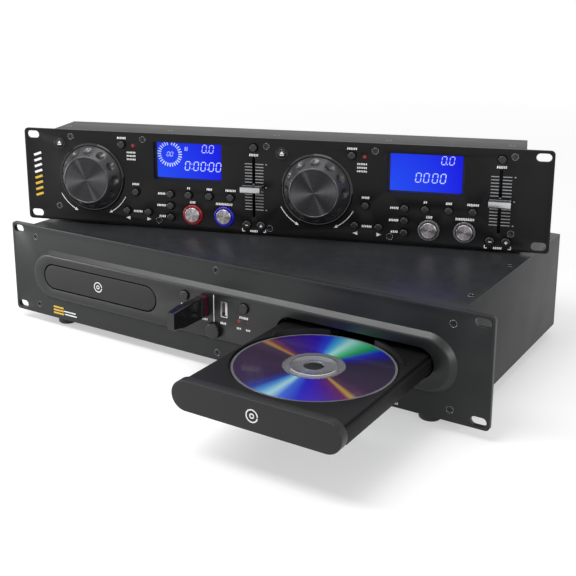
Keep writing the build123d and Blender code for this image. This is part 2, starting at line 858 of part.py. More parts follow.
with BuildPart() as player_links:
    add(link_socket(back, [(x, player_link_height) for x in player_link_xs], link_deep).part)
    with BuildSketch(level(main_board_under + board_thick)):
        with Locations(*[(x, rear - sheet - run_gap - link_foot_deep / 2) for x in player_link_xs]):
            Rectangle(2 * link_radius - 2 * link_foot_inset, link_foot_deep)
    extrude(amount=player_link_height - main_board_under - board_thick - link_radius + link_foot_inset)
save_group(
    (front_board, lamps, usb_shells, usb_tongues, main_board, chips, capacitors, supply_board,
     transformer, mains_inlet, audio_jacks, player_links), "player_boards")


# Controller: panel, housing, screws, pads
def on_decks(place):
    return [(x + place[0], place[1]) for x in deck_x.values()]


with BuildPart() as control_panel:
    with BuildSketch(deck):
        with Locations((0, panel_high / 2)):
            RectangleRounded(panel_wide, panel_high, panel_corner)
            with GridLocations(slot_pitch_x, slot_pitch_z, 2, 2):
                SlotOverall(slot_long, slot_high, mode=Mode.SUBTRACT)
    extrude(amount=-controller_thick)
    with BuildSketch(deck):
        with Locations(*on_decks(jog_place)):
            Circle(jog_bezel_radius)
    extrude(amount=jog_bezel_proud)
    chamfer(
        control_panel.faces().sort_by(outward(deck))[-2:].edges(), jog_bezel_proud * 0.45)
    with BuildSketch(deck):
        with Locations(*on_decks(eject_place)):
            Circle(eject_ring_radius)
    extrude(amount=eject_ring_proud)
    with BuildSketch(deck.offset(jog_bezel_proud)):
        with Locations(*on_decks(jog_place)):
            Circle(jog_base_radius + jog_hole_gap)
        with Locations(*on_decks(eject_place)):
            Circle(eject_radius + hole_gap)
        for place in small_buttons.values():
            with Locations(*on_decks(place)):
                Circle(small_button_radius + hole_gap)
        for place in bend_buttons.values():
            with Locations(*on_decks(place)):
                Circle(bend_button_radius + hole_gap)
        for place in ring_buttons.values():
            with Locations(*on_decks(place)):
                Circle(ring_outer + ring_fit)
        with Locations(*on_decks(deck_lamp)):
            Circle(lamp_radius + lamp_gap)
        with Locations(*on_decks(window_centre)):
            RectangleRounded(window_wide, window_high, window_round)
        with Locations(*on_decks((fader_x, fader_height))):
            SlotOverall(fader_slot_long, fader_slot_wide, rotation=90)
    extrude(amount=-(jog_bezel_proud + controller_thick), mode=Mode.SUBTRACT)
    for place in controller_screw_places:
        add(screw_hole(spot(deck, place)), mode=Mode.SUBTRACT)
save(control_panel, "controller_panel")

housing_middle = (housing_under + housing_top) / 2
top_screw_planes = [
    Plane(origin=deck.from_local_coords((x, housing_top, -top_screw_depth))) for x in top_screw_xs]
with BuildPart() as housing:
    with BuildSketch(deck.offset(-controller_thick)):
        with Locations((0, housing_middle)):
            Rectangle(housing_wide, housing_top - housing_under)
    extrude(amount=-(housing_rear - controller_thick))
    with BuildSketch(deck.offset(-controller_thick)):
        with Locations((0, housing_middle)):
            Rectangle(housing_wide - 2 * sheet, housing_top - housing_under - 2 * sheet)
    extrude(amount=-(housing_rear - controller_thick - sheet), mode=Mode.SUBTRACT)
    with BuildSketch(deck.offset(-housing_rear)):
        with Locations(*[(x, control_link_height) for x in control_link_xs]):
            Circle(link_radius + hole_gap)
    extrude(amount=sheet, mode=Mode.SUBTRACT)
    with BuildSketch(deck.offset(-top_screw_depth + 6)):
        with Locations(*[(x, housing_top - sheet - 3) for x in top_screw_xs]):
            Rectangle(12, 6)
    extrude(amount=-12)
    for at in top_screw_planes:
        add(screw_hole(at), mode=Mode.SUBTRACT)
save(housing, "controller_housing")

save(
    screws([spot(deck, place) for place in controller_screw_places] + top_screw_planes),
    "controller_screws")

pad_high = controller_lift + housing_under - box_top - sheet - pad_gap
with BuildPart() as pads:
    for x in (-pad_x, pad_x):
        for depth in pad_depths:
            with BuildSketch(Plane(origin=deck.from_local_coords((x, housing_under, -depth)))):
                Circle(pad_radius)
            extrude(amount=-pad_high)
save(pads, "controller_feet")

# Controller: board with lamps, light rings, fader bodies, encoders and link sockets
with BuildPart() as control_board:
    with BuildSketch(deck.offset(-control_board_depth)):
        with Locations((0, (control_board_under + control_board_top) / 2)):
            Rectangle(2 * control_board_half, control_board_top - control_board_under)
    extrude(amount=-board_thick)
    with BuildSketch(deck.offset(-controller_thick)):
        with Locations(*control_posts):
            Circle(control_post_radius)
    extrude(amount=-(control_board_depth - controller_thick))
    with BuildSketch(deck.offset(-control_board_depth)):
        for place in (*small_buttons.values(), *bend_buttons.values(), *ring_buttons.values(),
                      eject_place):
            with Locations(*on_decks(place)):
                Rectangle(switch_wide, switch_wide)
    extrude(amount=switch_deep)
with BuildPart() as deck_lamps:
    with BuildSketch(deck.offset(-control_board_depth)):
        with Locations(*on_decks(deck_lamp)):
            Circle(lamp_radius)
    extrude(amount=control_board_depth + lamp_proud)
with BuildPart() as light_rings:
    with BuildSketch(deck.offset(-control_board_depth)):
        for place in ring_buttons.values():
            with Locations(*on_decks(place)):
                Circle(ring_outer)
                Circle(ring_inner, mode=Mode.SUBTRACT)
    extrude(amount=control_board_depth + ring_proud)
with BuildPart() as encoders:
    with BuildSketch(deck.offset(-encoder_front)):
        with Locations(*on_decks(jog_place)):
            Circle(encoder_radius)
    extrude(amount=-(control_board_depth - encoder_front))
    with BuildSketch(deck.offset(-encoder_front)):
        with Locations(*on_decks(jog_place)):
            Circle(jog_shaft_radius + encoder_gap)
    extrude(amount=-(control_board_depth - encoder_front), mode=Mode.SUBTRACT)
with BuildPart() as fader_bodies:
    with BuildSketch(deck.offset(-fader_body_front)):
        with Locations(*on_decks((fader_x, fader_height))):
            Rectangle(fader_body_wide, fader_slot_long + 2 * fader_body_over)
    extrude(amount=-(control_board_depth - fader_body_front))
    with BuildSketch(deck.offset(-fader_body_front)):
        with Locations(*on_decks((fader_x, fader_height))):
            SlotOverall(fader_slot_long, fader_slot_wide, rotation=90)
    extrude(amount=-fader_groove_deep, mode=Mode.SUBTRACT)
with BuildPart() as controller_links:
    link_places = [(x, control_link_height) for x in control_link_xs]
    add(link_socket(deck.offset(-housing_rear), link_places, link_deep).part)
    with BuildSketch(deck.offset(-control_board_depth - board_thick)):
        with Locations(*link_places):
            Circle(board_post_radius)
    extrude(amount=-(housing_rear - link_deep - control_board_depth - board_thick))
save_group(
    (control_board, deck_lamps, light_rings, encoders, fader_bodies, controller_links),
    "controller_board")

with BuildPart() as displays:
    for x in deck_x.values():
        middle = spot(deck, (x + window_centre[0], window_centre[1]))
        with BuildSketch(middle.offset(-controller_thick)):
            Rectangle(window_wide + 2 * display_edge, window_high + 2 * display_edge)
            Rectangle(window_wide, window_high, mode=Mode.SUBTRACT)
        extrude(amount=-(display_depth - controller_thick))
        with BuildSketch(middle.offset(-display_depth)):
            Rectangle(window_wide + 2 * display_edge, window_high + 2 * display_edge)
        extrude(amount=-display_thick)
        with BuildSketch(middle.offset(-display_depth - display_thick)):
            Rectangle(window_wide - 8, window_high - 8)
        extrude(amount=-(control_board_depth - display_depth - display_thick))
save(displays, "displays")

# Controller: moving pieces of each deck
for side, x in deck_x.items():
    centre = spot(deck, (x + jog_place[0], jog_place[1]))
    slope = math.atan2(jog_neck_proud - jog_rim_proud, jog_base_radius - jog_neck_radius)
    dimple_out = dimple_sphere - dimple_deep
    dimple_radius = (jog_base_radius + jog_neck_radius) / 2 + dimple_out * math.sin(slope)
    dimple_proud = (jog_rim_proud + jog_neck_proud) / 2 + dimple_out * math.cos(slope)
    with BuildPart() as jog:
        with BuildSketch(across(centre)):
            with BuildLine():
                Polyline(
                    (0, -jog_base_deep), (jog_base_radius, -jog_base_deep),
                    (jog_base_radius, jog_rim_proud), (jog_neck_radius, jog_neck_proud),
                    (jog_top_radius, jog_top_proud), (0, jog_top_proud), close=True)
            make_face()
        revolve(axis=outward(centre))
        with BuildSketch(across(centre)):
            with BuildLine():
                Polyline(
                    (jog_hub_radius, -jog_base_deep), (jog_base_radius - 1.5 * jog_wall, -jog_base_deep),
                    (jog_base_radius - 2 * jog_wall, jog_rim_proud - 1),
                    (jog_neck_radius - 2 * jog_wall, jog_neck_proud - 1.5 * jog_wall),
                    (jog_hub_radius, jog_neck_proud - 1.5 * jog_wall), close=True)
            make_face()
        revolve(axis=outward(centre), mode=Mode.SUBTRACT)
        with BuildSketch(centre.offset(-jog_base_deep)):
            Circle(jog_shaft_radius)
        extrude(amount=-(jog_shaft_long - jog_base_deep))
        with Locations(centre.offset(dimple_proud)):
            with PolarLocations(dimple_radius, dimple_count):
                Sphere(dimple_sphere, mode=Mode.SUBTRACT)
    save(jog, f"{side}_jog_wheel")

    cap_middle = spot(deck, (x + fader_x, fader_height + fader_rest))
    with BuildPart() as fader:
        with BuildSketch(cap_middle.offset(fader_back)):
            Rectangle(fader_wide, fader_high)
        extrude(amount=fader_front - fader_back)
        fillet(fader.edges().group_by(outward(deck))[-1], edge_round)
        with BuildSketch(cap_middle.offset(fader_back + 3.0)):
            Rectangle(fader_wide, fader_high)
            Rectangle(fader_wide - 2 * fader_waist, fader_high, mode=Mode.SUBTRACT)
        extrude(amount=5.0, mode=Mode.SUBTRACT)
        with BuildSketch(cap_middle.offset(fader_back)):
            Rectangle(fader_stem_wide, fader_stem_high)
        extrude(amount=-(fader_back + fader_stem_deep))
    save(fader, f"{side}_pitch_fader")

    for name, place in small_buttons.items():
        push_button(
            f"{side}_{name}", spot(deck, (x + place[0], place[1])),
            small_button_radius, small_button_proud, controller_thick, control_board_depth)
    for name, place in bend_buttons.items():
        push_button(
            f"{side}_{name}", spot(deck, (x + place[0], place[1])),
            bend_button_radius, bend_button_proud, controller_thick, control_board_depth)
    push_button(
        f"{side}_eject_button", spot(deck, (x + eject_place[0], eject_place[1])),
        eject_radius, eject_proud, controller_thick, control_board_depth)

    for name, place in ring_buttons.items():
        at = spot(deck, (x + place[0], place[1]))
        with BuildPart() as cap:
            with BuildSketch(at.offset(-ring_cap_deep)):
                Circle(ring_cap_radius)
            extrude(amount=ring_cap_deep + ring_cap_proud)
            fillet(cap.edges().sort_by(outward(at))[-1], edge_round)
            with BuildSketch(at.offset(ring_cap_proud)):
                Circle(ring_cap_radius - 1.2)
            extrude(amount=-ring_cap_dish, mode=Mode.SUBTRACT)
        save(cap, f"{side}_{name}")
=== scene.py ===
import json
import math
import bmesh
import bpy
from mathutils import Matrix, Vector


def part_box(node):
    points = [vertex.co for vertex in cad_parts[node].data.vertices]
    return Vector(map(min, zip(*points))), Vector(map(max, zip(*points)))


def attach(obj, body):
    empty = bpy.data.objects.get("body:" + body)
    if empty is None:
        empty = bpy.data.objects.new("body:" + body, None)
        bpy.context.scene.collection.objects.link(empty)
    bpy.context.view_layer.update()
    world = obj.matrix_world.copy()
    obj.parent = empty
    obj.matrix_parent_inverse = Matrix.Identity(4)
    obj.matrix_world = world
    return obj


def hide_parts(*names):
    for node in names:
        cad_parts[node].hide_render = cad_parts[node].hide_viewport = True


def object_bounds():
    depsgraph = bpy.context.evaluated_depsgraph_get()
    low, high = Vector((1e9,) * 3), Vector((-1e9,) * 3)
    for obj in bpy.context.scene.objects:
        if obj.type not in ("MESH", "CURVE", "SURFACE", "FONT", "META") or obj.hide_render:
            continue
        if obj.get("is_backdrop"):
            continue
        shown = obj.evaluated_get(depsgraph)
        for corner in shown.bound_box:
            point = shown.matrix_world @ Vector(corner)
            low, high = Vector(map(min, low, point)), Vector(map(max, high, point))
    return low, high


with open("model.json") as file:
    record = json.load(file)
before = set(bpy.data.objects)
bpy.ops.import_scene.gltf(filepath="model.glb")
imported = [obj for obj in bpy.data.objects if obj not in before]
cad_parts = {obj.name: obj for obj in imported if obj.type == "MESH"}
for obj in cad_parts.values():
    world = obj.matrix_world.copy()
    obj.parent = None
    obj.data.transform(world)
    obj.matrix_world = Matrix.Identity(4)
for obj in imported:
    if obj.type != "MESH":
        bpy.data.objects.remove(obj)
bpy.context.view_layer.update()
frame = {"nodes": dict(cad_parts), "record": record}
scene = bpy.context.scene
bodyOf = {n: body for body, nodes in frame["record"]["behaviour"]["bodies"].items() for n in nodes}
print("frame loaded:", len(bodyOf), "nodes")


# The two front panels. A place on a face is (across, height above the bottom edge, outward), in mm.
def faceMatrix(x, y, z, turn):
    a = math.radians(turn)
    return Matrix((
        (0.001 * math.cos(a), 0, 0.001 * math.sin(a), 0.001 * x),
        (0.001 * math.sin(a), 0, -0.001 * math.cos(a), 0.001 * y),
        (0, 0.001, 0, 0.001 * z),
        (0, 0, 0, 1)))


playerFace = faceMatrix(0, 0, -44.05, 0)
controllerLow = 45.85
controllerFace = faceMatrix(-1.3, 87.7, controllerLow, 17.9)
levelFace = Matrix.Scale(0.001, 4)  # plain mm, Z up


def hexLinear(code):
    parts = [int(code[i:i + 2], 16) / 255 for i in (1, 3, 5)]
    return (*[c / 12.92 if c <= 0.04045 else ((c + 0.055) / 1.055) ** 2.4 for c in parts], 1.0)


# Corners of an upright rectangle, in the order that prism wants.
def rectangle(x0, z0, x1, z1):
    return [(x0, z0), (x1, z0), (x1, z1), (x0, z1)]


def addNode(tree, kind, inputs=None, **settings):
    node = tree.nodes.new(kind)
    for name, value in settings.items():
        setattr(node, name, value)
    for key, value in (inputs or {}).items():
        if isinstance(value, bpy.types.NodeSocket):
            tree.links.new(value, node.inputs[key])
        else:
            node.inputs[key].default_value = value
    return node


def newMaterial(name, sockets):
    material = bpy.data.materials.new(name)
    material.use_nodes = True
    tree = material.node_tree
    tree.nodes.clear()
    shader = addNode(tree, "ShaderNodeBsdfPrincipled", sockets)
    addNode(tree, "ShaderNodeOutputMaterial", {"Surface": shader.outputs["BSDF"]})
    return material, tree, shader


# A painted, moulded or coated surface: two close shades mottled over cloudMm,
# a fine grain of grainMm that is deepMm deep, and roughness that wanders between two values.
def coatedFinish(name, dark, light, rough, grainMm, deepMm, cloudMm=25, **sockets):
    named = {key.replace("_", " "): value for key, value in sockets.items()}
    material, tree, shader = newMaterial(name, named)
    coords = addNode(tree, "ShaderNodeTexCoord").outputs["Object"]
    cloud = addNode(tree, "ShaderNodeTexNoise", {"Vector": coords, "Scale": 1000 / cloudMm, "Detail": 3})
    fine = addNode(tree, "ShaderNodeTexNoise", {"Vector": coords, "Scale": 1000 / grainMm, "Detail": 2})
    mixed = addNode(tree, "ShaderNodeMath", {0: cloud.outputs["Fac"], 1: fine.outputs["Fac"]})
    tone = addNode(tree, "ShaderNodeMapRange", {
        "Value": mixed.outputs[0], "From Min": 0.6, "From Max": 1.4})
    shade = addNode(tree, "ShaderNodeMix", {"Factor": tone.outputs[0]}, data_type="RGBA")
    shade.inputs[6].default_value, shade.inputs[7].default_value = hexLinear(dark), hexLinear(light)
    gloss = addNode(tree, "ShaderNodeMapRange", {
        "Value": tone.outputs[0], "To Min": rough[0], "To Max": rough[1]})
    relief = addNode(tree, "ShaderNodeBump", {
        "Height": fine.outputs["Fac"], "Distance": 0.001 * deepMm, "Strength": 1.0})
    tree.links.new(shade.outputs[2], shader.inputs["Base Color"])
    tree.links.new(gloss.outputs[0], shader.inputs["Roughness"])
    tree.links.new(relief.outputs[0], shader.inputs["Normal"])
    return material


# Turned metal: fine rings of toolMarkMm round an axis, with the highlight drawn out across them.
# The bright wedges that a studio throws on it are painted into its colour across the centre,
# as painted highlight wedges of (direction, sharpness, gain), so they turn with the piece.
def turnedFinish(name, dark, light, rough, centre, axis, toolMarkMm, paintedHighlightWedges=()):
    material, tree, shader = newMaterial(name, {"Metallic": 1.0, "Anisotropic": 0.9})
    coords = addNode(tree, "ShaderNodeTexCoord").outputs["Object"]
    away = addNode(tree, "ShaderNodeVectorMath", {0: coords, 1: centre}, operation="SUBTRACT")
    around = addNode(tree, "ShaderNodeVectorMath", {0: axis, 1: away.outputs[0]},
                     operation="CROSS_PRODUCT")
    radius = addNode(tree, "ShaderNodeVectorMath", {0: around.outputs[0]}, operation="LENGTH")
    ring = addNode(tree, "ShaderNodeTexNoise", {
        "W": radius.outputs["Value"], "Scale": 1000 / toolMarkMm, "Detail": 3}, noise_dimensions="1D")
    outward = addNode(tree, "ShaderNodeVectorMath", {0: around.outputs[0], 1: axis},
                      operation="CROSS_PRODUCT")
    ray = addNode(tree, "ShaderNodeVectorMath", {0: outward.outputs[0]}, operation="NORMALIZE")
    tone = addNode(tree, "ShaderNodeMath", {0: ring.outputs["Fac"], 1: 0.4}, operation="MULTIPLY")
    # Each wedge adds a painted highlight to the colour, brightest along its direction
    for direction, sharpness, gain in paintedHighlightWedges:
        along = addNode(tree, "ShaderNodeVectorMath", {0: ray.outputs[0], 1: direction},
                        operation="DOT_PRODUCT")
        either = addNode(tree, "ShaderNodeMath", {0: along.outputs["Value"]}, operation="ABSOLUTE")
        lobe = addNode(tree, "ShaderNodeMath", {0: either.outputs[0], 1: sharpness}, operation="POWER")
        tone = addNode(tree, "ShaderNodeMath", {0: lobe.outputs[0], 1: gain, 2: tone.outputs[0]},
                       operation="MULTIPLY_ADD")
    shade = addNode(tree, "ShaderNodeMix", {"Factor": tone.outputs[0]}, data_type="RGBA")
    shade.inputs[6].default_value, shade.inputs[7].default_value = hexLinear(dark), hexLinear(light)
    gloss = addNode(tree, "ShaderNodeMapRange", {
        "Value": ring.outputs["Fac"], "To Min": rough[0], "To Max": rough[1]})
    world = addNode(tree, "ShaderNodeVectorTransform", {"Vector": outward.outputs[0]},
                    vector_type="VECTOR", convert_from="OBJECT", convert_to="WORLD")
    unit = addNode(tree, "ShaderNodeVectorMath", {0: world.outputs[0]}, operation="NORMALIZE")
    tree.links.new(shade.outputs[2], shader.inputs["Base Color"])
    tree.links.new(gloss.outputs[0], shader.inputs["Roughness"])
    tree.links.new(unit.outputs[0], shader.inputs["Tangent"])
    return material


# Powder coat on folded steel: even charcoal with a pinhead orange peel that softens highlights.
powderCoat = coatedFinish("blackPowderCoat", "#151617", "#1b1c1d", (0.4, 0.48), 0.9, 0.03,
                          Specular_IOR_Level=0.2)
# Stove enamel on the lid: deep black, soft reflections, hardly any peel.
lidEnamel = coatedFinish("glossBlackEnamel", "#242527", "#2c2d2f", (0.33, 0.4), 6.0, 0.004,
                         Specular_IOR_Level=0.15)
# Satin paint on the aluminium rack fronts: the player's is a little greyer than the controller's.
panelPaint = coatedFinish("satinCharcoalPaint", "#1a1b1c", "#1f2021", (0.34, 0.42), 0.8, 0.02,
                          Specular_IOR_Level=0.3)
controllerPaint = coatedFinish("satinBlackPaint", "#0d0d0e", "#121213", (0.32, 0.4), 0.8, 0.02,
                               Specular_IOR_Level=0.18)
# Moulded ABS with a spark-eroded texture: the raised stadium, the doors and the trays.
bossPlastic = coatedFinish("texturedAbsGrey", "#151617", "#1a1b1c", (0.3, 0.38), 0.7, 0.03,
                           Specular_IOR_Level=0.4)
doorPlastic = coatedFinish("texturedAbsDoor", "#191a1a", "#1f1f1f", (0.34, 0.42), 0.7, 0.03,
                           Specular_IOR_Level=0.3)
trayPlastic = coatedFinish("texturedAbsTray", "#101011", "#151516", (0.42, 0.52), 0.6, 0.04,
                           Specular_IOR_Level=0.15)
loaderPlastic = coatedFinish("plainAbsLoader", "#1d1e20", "#232426", (0.5, 0.6), 1.5, 0.03)
# Polished ABS of the bezels round the jogs and eject buttons: close to a mirror.
glossPlastic = coatedFinish("polishedBlackAbs", "#0c0c0e", "#111113", (0.08, 0.14), 3.0, 0.004)
# Satin ABS of the jog cones, greyer than their bezels and dulled by fingers.
jogPlastic = coatedFinish("satinJogAbs", "#2c2c2e", "#363638", (0.18, 0.27), 2.0, 0.01)
# Soft-touch ABS button caps: dull highlight on a dark grey dome.
buttonPlastic = coatedFinish("softTouchAbs", "#1a1a1b", "#212122", (0.24, 0.32), 0.5, 0.02,
                             Specular_IOR_Level=0.4)
# White screen ink: thin, flat, slightly uneven cover.
whiteInk = coatedFinish("whiteScreenInk", "#dcdcda", "#f2f2f0", (0.5, 0.6), 0.3, 0.01)
greyInk = coatedFinish("greyScreenInk", "#8d8e90", "#9a9b9d", (0.5, 0.6), 0.3, 0.01)
yellowInk = coatedFinish("yellowScreenInk", "#c9a227", "#dbb43a", (0.5, 0.6), 0.3, 0.01)
# Zinc-plated steel blackened by passivation, on the screws.
screwSteel = coatedFinish("blackZincSteel", "#2c2c2e", "#48484a", (0.25, 0.38), 0.6, 0.01, Metallic=1.0)
# The same screws' rolled lips, in a lighter copy of their steel that paints in the bright arcs that glint on
# the heads.
glintLipSteel = coatedFinish("paintedGlintZincSteel", "#56565a", "#808084", (0.18, 0.28), 0.6, 0.01, Metallic=1.0)
# Nickel-plated socket shells, chrome and satin chrome on the faders.
nickelPlate = coatedFinish("nickelPlate", "#d4d4d2", "#e6e6e4", (0.2, 0.3), 2.0, 0.004, Metallic=1.0)
satinChrome = coatedFinish("satinChromePlate", "#a8a9ab", "#bcbdbf", (0.24, 0.34), 0.8, 0.006, Metallic=1.0)
# Moulded rubber feet: matt, faint blooming.
rubber = coatedFinish("mouldedRubber", "#1a1a1b", "#232324", (0.7, 0.85), 0.8, 0.05)
# Glass-fibre circuit board under green mask.
boardMask = coatedFinish("greenSolderMask", "#0f4a2a", "#176038", (0.3, 0.42), 2.0, 0.01)
blackMoulding = coatedFinish("glassFilledNylon", "#151516", "#1d1d1e", (0.5, 0.62), 0.7, 0.03)
socketTongue = coatedFinish("whiteNylonTongue", "#d4d4d0", "#e4e4e0", (0.4, 0.5), 1.0, 0.01)
maroonPlastic = coatedFinish("maroonAbs", "#3c0c1c", "#4c1024", (0.25, 0.35), 1.0, 0.01)
stickPlastic = coatedFinish("glossBlackAbsStick", "#121214", "#18181a", (0.14, 0.22), 1.0, 0.006)
# Cast acrylic light rings, unlit: clear with a grey cast; lit ones add their lamp's colour.
clearRing = coatedFinish("clearAcrylicRing", "#6f7074", "#85868a", (0.06, 0.12), 1.5, 0.01,
                         Transmission_Weight=0.5)
redRing = coatedFinish("redLitAcrylic", "#4c060e", "#6c0a14", (0.1, 0.18), 1.5, 0.01,
                       Emission_Color=hexLinear("#a8101c"), Emission_Strength=0.28)
blueRing = coatedFinish("blueLitAcrylic", "#080640", "#0e0c60", (0.1, 0.18), 1.5, 0.01,
                        Emission_Color=hexLinear("#1c12d0"), Emission_Strength=0.36)
redLamp = coatedFinish("redLamp", "#480a10", "#5c0c14", (0.15, 0.2), 1.0, 0.005,
                       Emission_Color=hexLinear("#b00c14"), Emission_Strength=0.3)
dimLamp = coatedFinish("unlitRedLamp", "#3c0e12", "#4a1216", (0.15, 0.2), 1.0, 0.005)
print("shared finishes made")


sharpAngle = 38  # degrees between faces beyond which shading breaks


# A CAD node's mesh is loose triangles: a copy is welded, its hard edges are rounded by edge mm,
# its shading is smoothed, and each face gets a finish by where it is on its panel.
def dressNode(node, finishes, face=levelFace, edge=0.0, choose=None, reshape=None):
    source = frame["nodes"][node].data
    mesh = bpy.data.meshes.new(node + "_dressed")
    mesh.from_pydata([v.co for v in source.vertices], [], [p.vertices for p in source.polygons])
    form = bmesh.new()
    form.from_mesh(mesh)
    bmesh.ops.remove_doubles(form, verts=form.verts, dist=2e-6)
    bmesh.ops.transform(form, matrix=face.inverted(), verts=form.verts)
    if edge:
        hard = [e for e in form.edges
                if len(e.link_faces) == 2 and e.calc_face_angle() > math.radians(50)]
        bmesh.ops.bevel(form, geom=hard, offset=edge, segments=2, profile=0.6, affect="EDGES",
                        clamp_overlap=False)
    if reshape:
        reshape(form)
    for part in form.faces:
        part.smooth = True
        part.material_index = choose(part.calc_center_median()) if choose else 0
    bmesh.ops.transform(form, matrix=face, verts=form.verts)
    form.to_mesh(mesh)
    form.free()
    for finish in finishes:
        mesh.materials.append(finish)
    mesh.set_sharp_from_angle(angle=math.radians(sharpAngle))
    return addPiece(mesh, bodyOf[node], [node])


def addPiece(mesh, body, nodes=()):
    piece = bpy.data.objects.new(mesh.name, mesh)
    scene.collection.objects.link(piece)
    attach(piece, body)
    if nodes:
        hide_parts(*nodes)
    return piece


def formPiece(form, name, finishes, face, body, nodes=(), angle=sharpAngle):
    bmesh.ops.recalc_face_normals(form, faces=form.faces)
    for part in form.faces:
        part.smooth = True
    bmesh.ops.transform(form, matrix=face, verts=form.verts)
    mesh = bpy.data.meshes.new(name)
    form.to_mesh(mesh)
    form.free()
    for finish in finishes:
        mesh.materials.append(finish)
    mesh.set_sharp_from_angle(angle=math.radians(angle))
    return addPiece(mesh, body, nodes)


# A closed prism from a flat outline, between two heights off the face.
def prism(form, outline, low, high, finish=0):
    lower = [form.verts.new((x, y, low)) for x, y in outline]
    upper = [form.verts.new((x, y, high)) for x, y in outline]
    faces = [form.faces.new(lower[::-1]), form.faces.new(upper)]
    for i in range(len(outline)):
        j = (i + 1) % len(outline)
        faces.append(form.faces.new((lower[i], lower[j], upper[j], upper[i])))
    for part in faces:
        part.material_index = finish


# A turned form about a point of the face. Its profile is a list of (radius, out), and
# finishes holds one for each stretch of it; warp can move a point by its angle.
def lathe(form, profile, centre, steps, finishes, warp=None):
    rows = []
    for radius, out in profile:
        if radius < 1e-6:
            rows.append([form.verts.new((centre[0], centre[1], out))])
            continue
        row = []
        for i in range(steps):
            a = 2 * math.pi * i / steps
            r, o = warp(radius, out, a) if warp else (radius, out)
            row.append(form.verts.new((centre[0] + r * math.cos(a), centre[1] + r * math.sin(a), o)))
        rows.append(row)
    for k, (first, second) in enumerate(zip(rows, rows[1:])):
        for i in range(steps):
            j = (i + 1) % steps
            ring = [first[i % len(first)], first[j % len(first)],
                    second[j % len(second)], second[i % len(second)]]
            ring = [v for n, v in enumerate(ring) if v not in ring[:n]]
            form.faces.new(ring).material_index = finishes[k]


# Things that repeat grow on the points of a mesh, by a Geometry Nodes tree with named inputs.
def growTree(name, sizes, shape, turned):
    tree = bpy.data.node_groups.new(name, "GeometryNodeTree")
    for key, kind in (("Points", "NodeSocketGeometry"), *((size, "NodeSocketFloat") for size in sizes),
                      ("Finish", "NodeSocketMaterial")):
        tree.interface.new_socket(name=key, in_out="INPUT", socket_type=kind)
    tree.interface.new_socket(name="Grown", in_out="OUTPUT", socket_type="NodeSocketGeometry")
    given = addNode(tree, "NodeGroupInput").outputs
    inputs = {"Points": given["Points"], "Instance": shape(tree, given)}
    if turned:
        for key, name in (("Rotation", "spin"), ("Scale", "stretch")):
            inputs[key] = addNode(tree, "GeometryNodeInputNamedAttribute", {"Name": name},
                                  data_type="FLOAT_VECTOR").outputs["Attribute"]
    placed = addNode(tree, "GeometryNodeInstanceOnPoints", inputs)
    real = addNode(tree, "GeometryNodeRealizeInstances", {"Geometry": placed.outputs[0]})
    coated = addNode(tree, "GeometryNodeSetMaterial", {
        "Geometry": real.outputs[0], "Material": given["Finish"]})
    addNode(tree, "NodeGroupOutput", {"Grown": coated.outputs[0]})
    return tree


def slabShape(tree, given):
    size = addNode(tree, "ShaderNodeCombineXYZ", {
        "X": given["Wide"], "Y": given["High"], "Z": given["Thick"]})
    return addNode(tree, "GeometryNodeMeshCube", {"Size": size.outputs[0]}).outputs["Mesh"]


def lipShape(tree, given):
    path = addNode(tree, "GeometryNodeCurvePrimitiveCircle", {
        "Resolution": 24, "Radius": given["Radius"]})
    wire = addNode(tree, "GeometryNodeCurvePrimitiveCircle", {
        "Resolution": 8, "Radius": given["Wire"]})
    ring = addNode(tree, "GeometryNodeCurveToMesh", {
        "Curve": path.outputs["Curve"], "Profile Curve": wire.outputs["Curve"]})
    return ring.outputs["Mesh"]


printedMarks = growTree("printedMarks", ("Wide", "High", "Thick"), slabShape, True)
screwLips = growTree("screwLips", ("Radius", "Wire"), lipShape, False)


def growOn(name, tree, points, values, face, body, smooth=False):
    holder = bpy.data.objects.new(name + "Points", points)
    scene.collection.objects.link(holder)
    modifier = holder.modifiers.new("grown", "NODES")
    modifier.node_group = tree
    ids = {item.name: item.identifier for item in tree.interface.items_tree if item.in_out == "INPUT"}
    for key, value in values.items():
        modifier[ids[key]] = value
    graph = bpy.context.evaluated_depsgraph_get()
    mesh = bpy.data.meshes.new_from_object(holder.evaluated_get(graph), depsgraph=graph)
    bpy.data.objects.remove(holder)
    mesh.name = name
    mesh.transform(face)
    if smooth:
        mesh.shade_smooth()
    else:
        mesh.shade_flat()
    return addPiece(mesh, body)


inkLayer = {"thick": 0.06, "out": 0.03}


# Printed bars of wide by high mm. Spots are (across, high, out, spin, stretch across, stretch high).
def printMarks(name, spots, wide, high, thick, ink, face, body):
    points = bpy.data.meshes.new(name + "Points")
    points.from_pydata([s[:3] for s in spots], [], [])
    for key, values in (("spin", [(0, 0, s[3]) for s in spots]),
                        ("stretch", [(s[4], s[5], 1) for s in spots])):
        points.attributes.new(key, "FLOAT_VECTOR", "POINT").data.foreach_set(
            "vector", [v for value in values for v in value])
    values = {"Wide": wide, "High": high, "Thick": thick, "Finish": ink}
    return growOn(name, printedMarks, points, values, face, body)


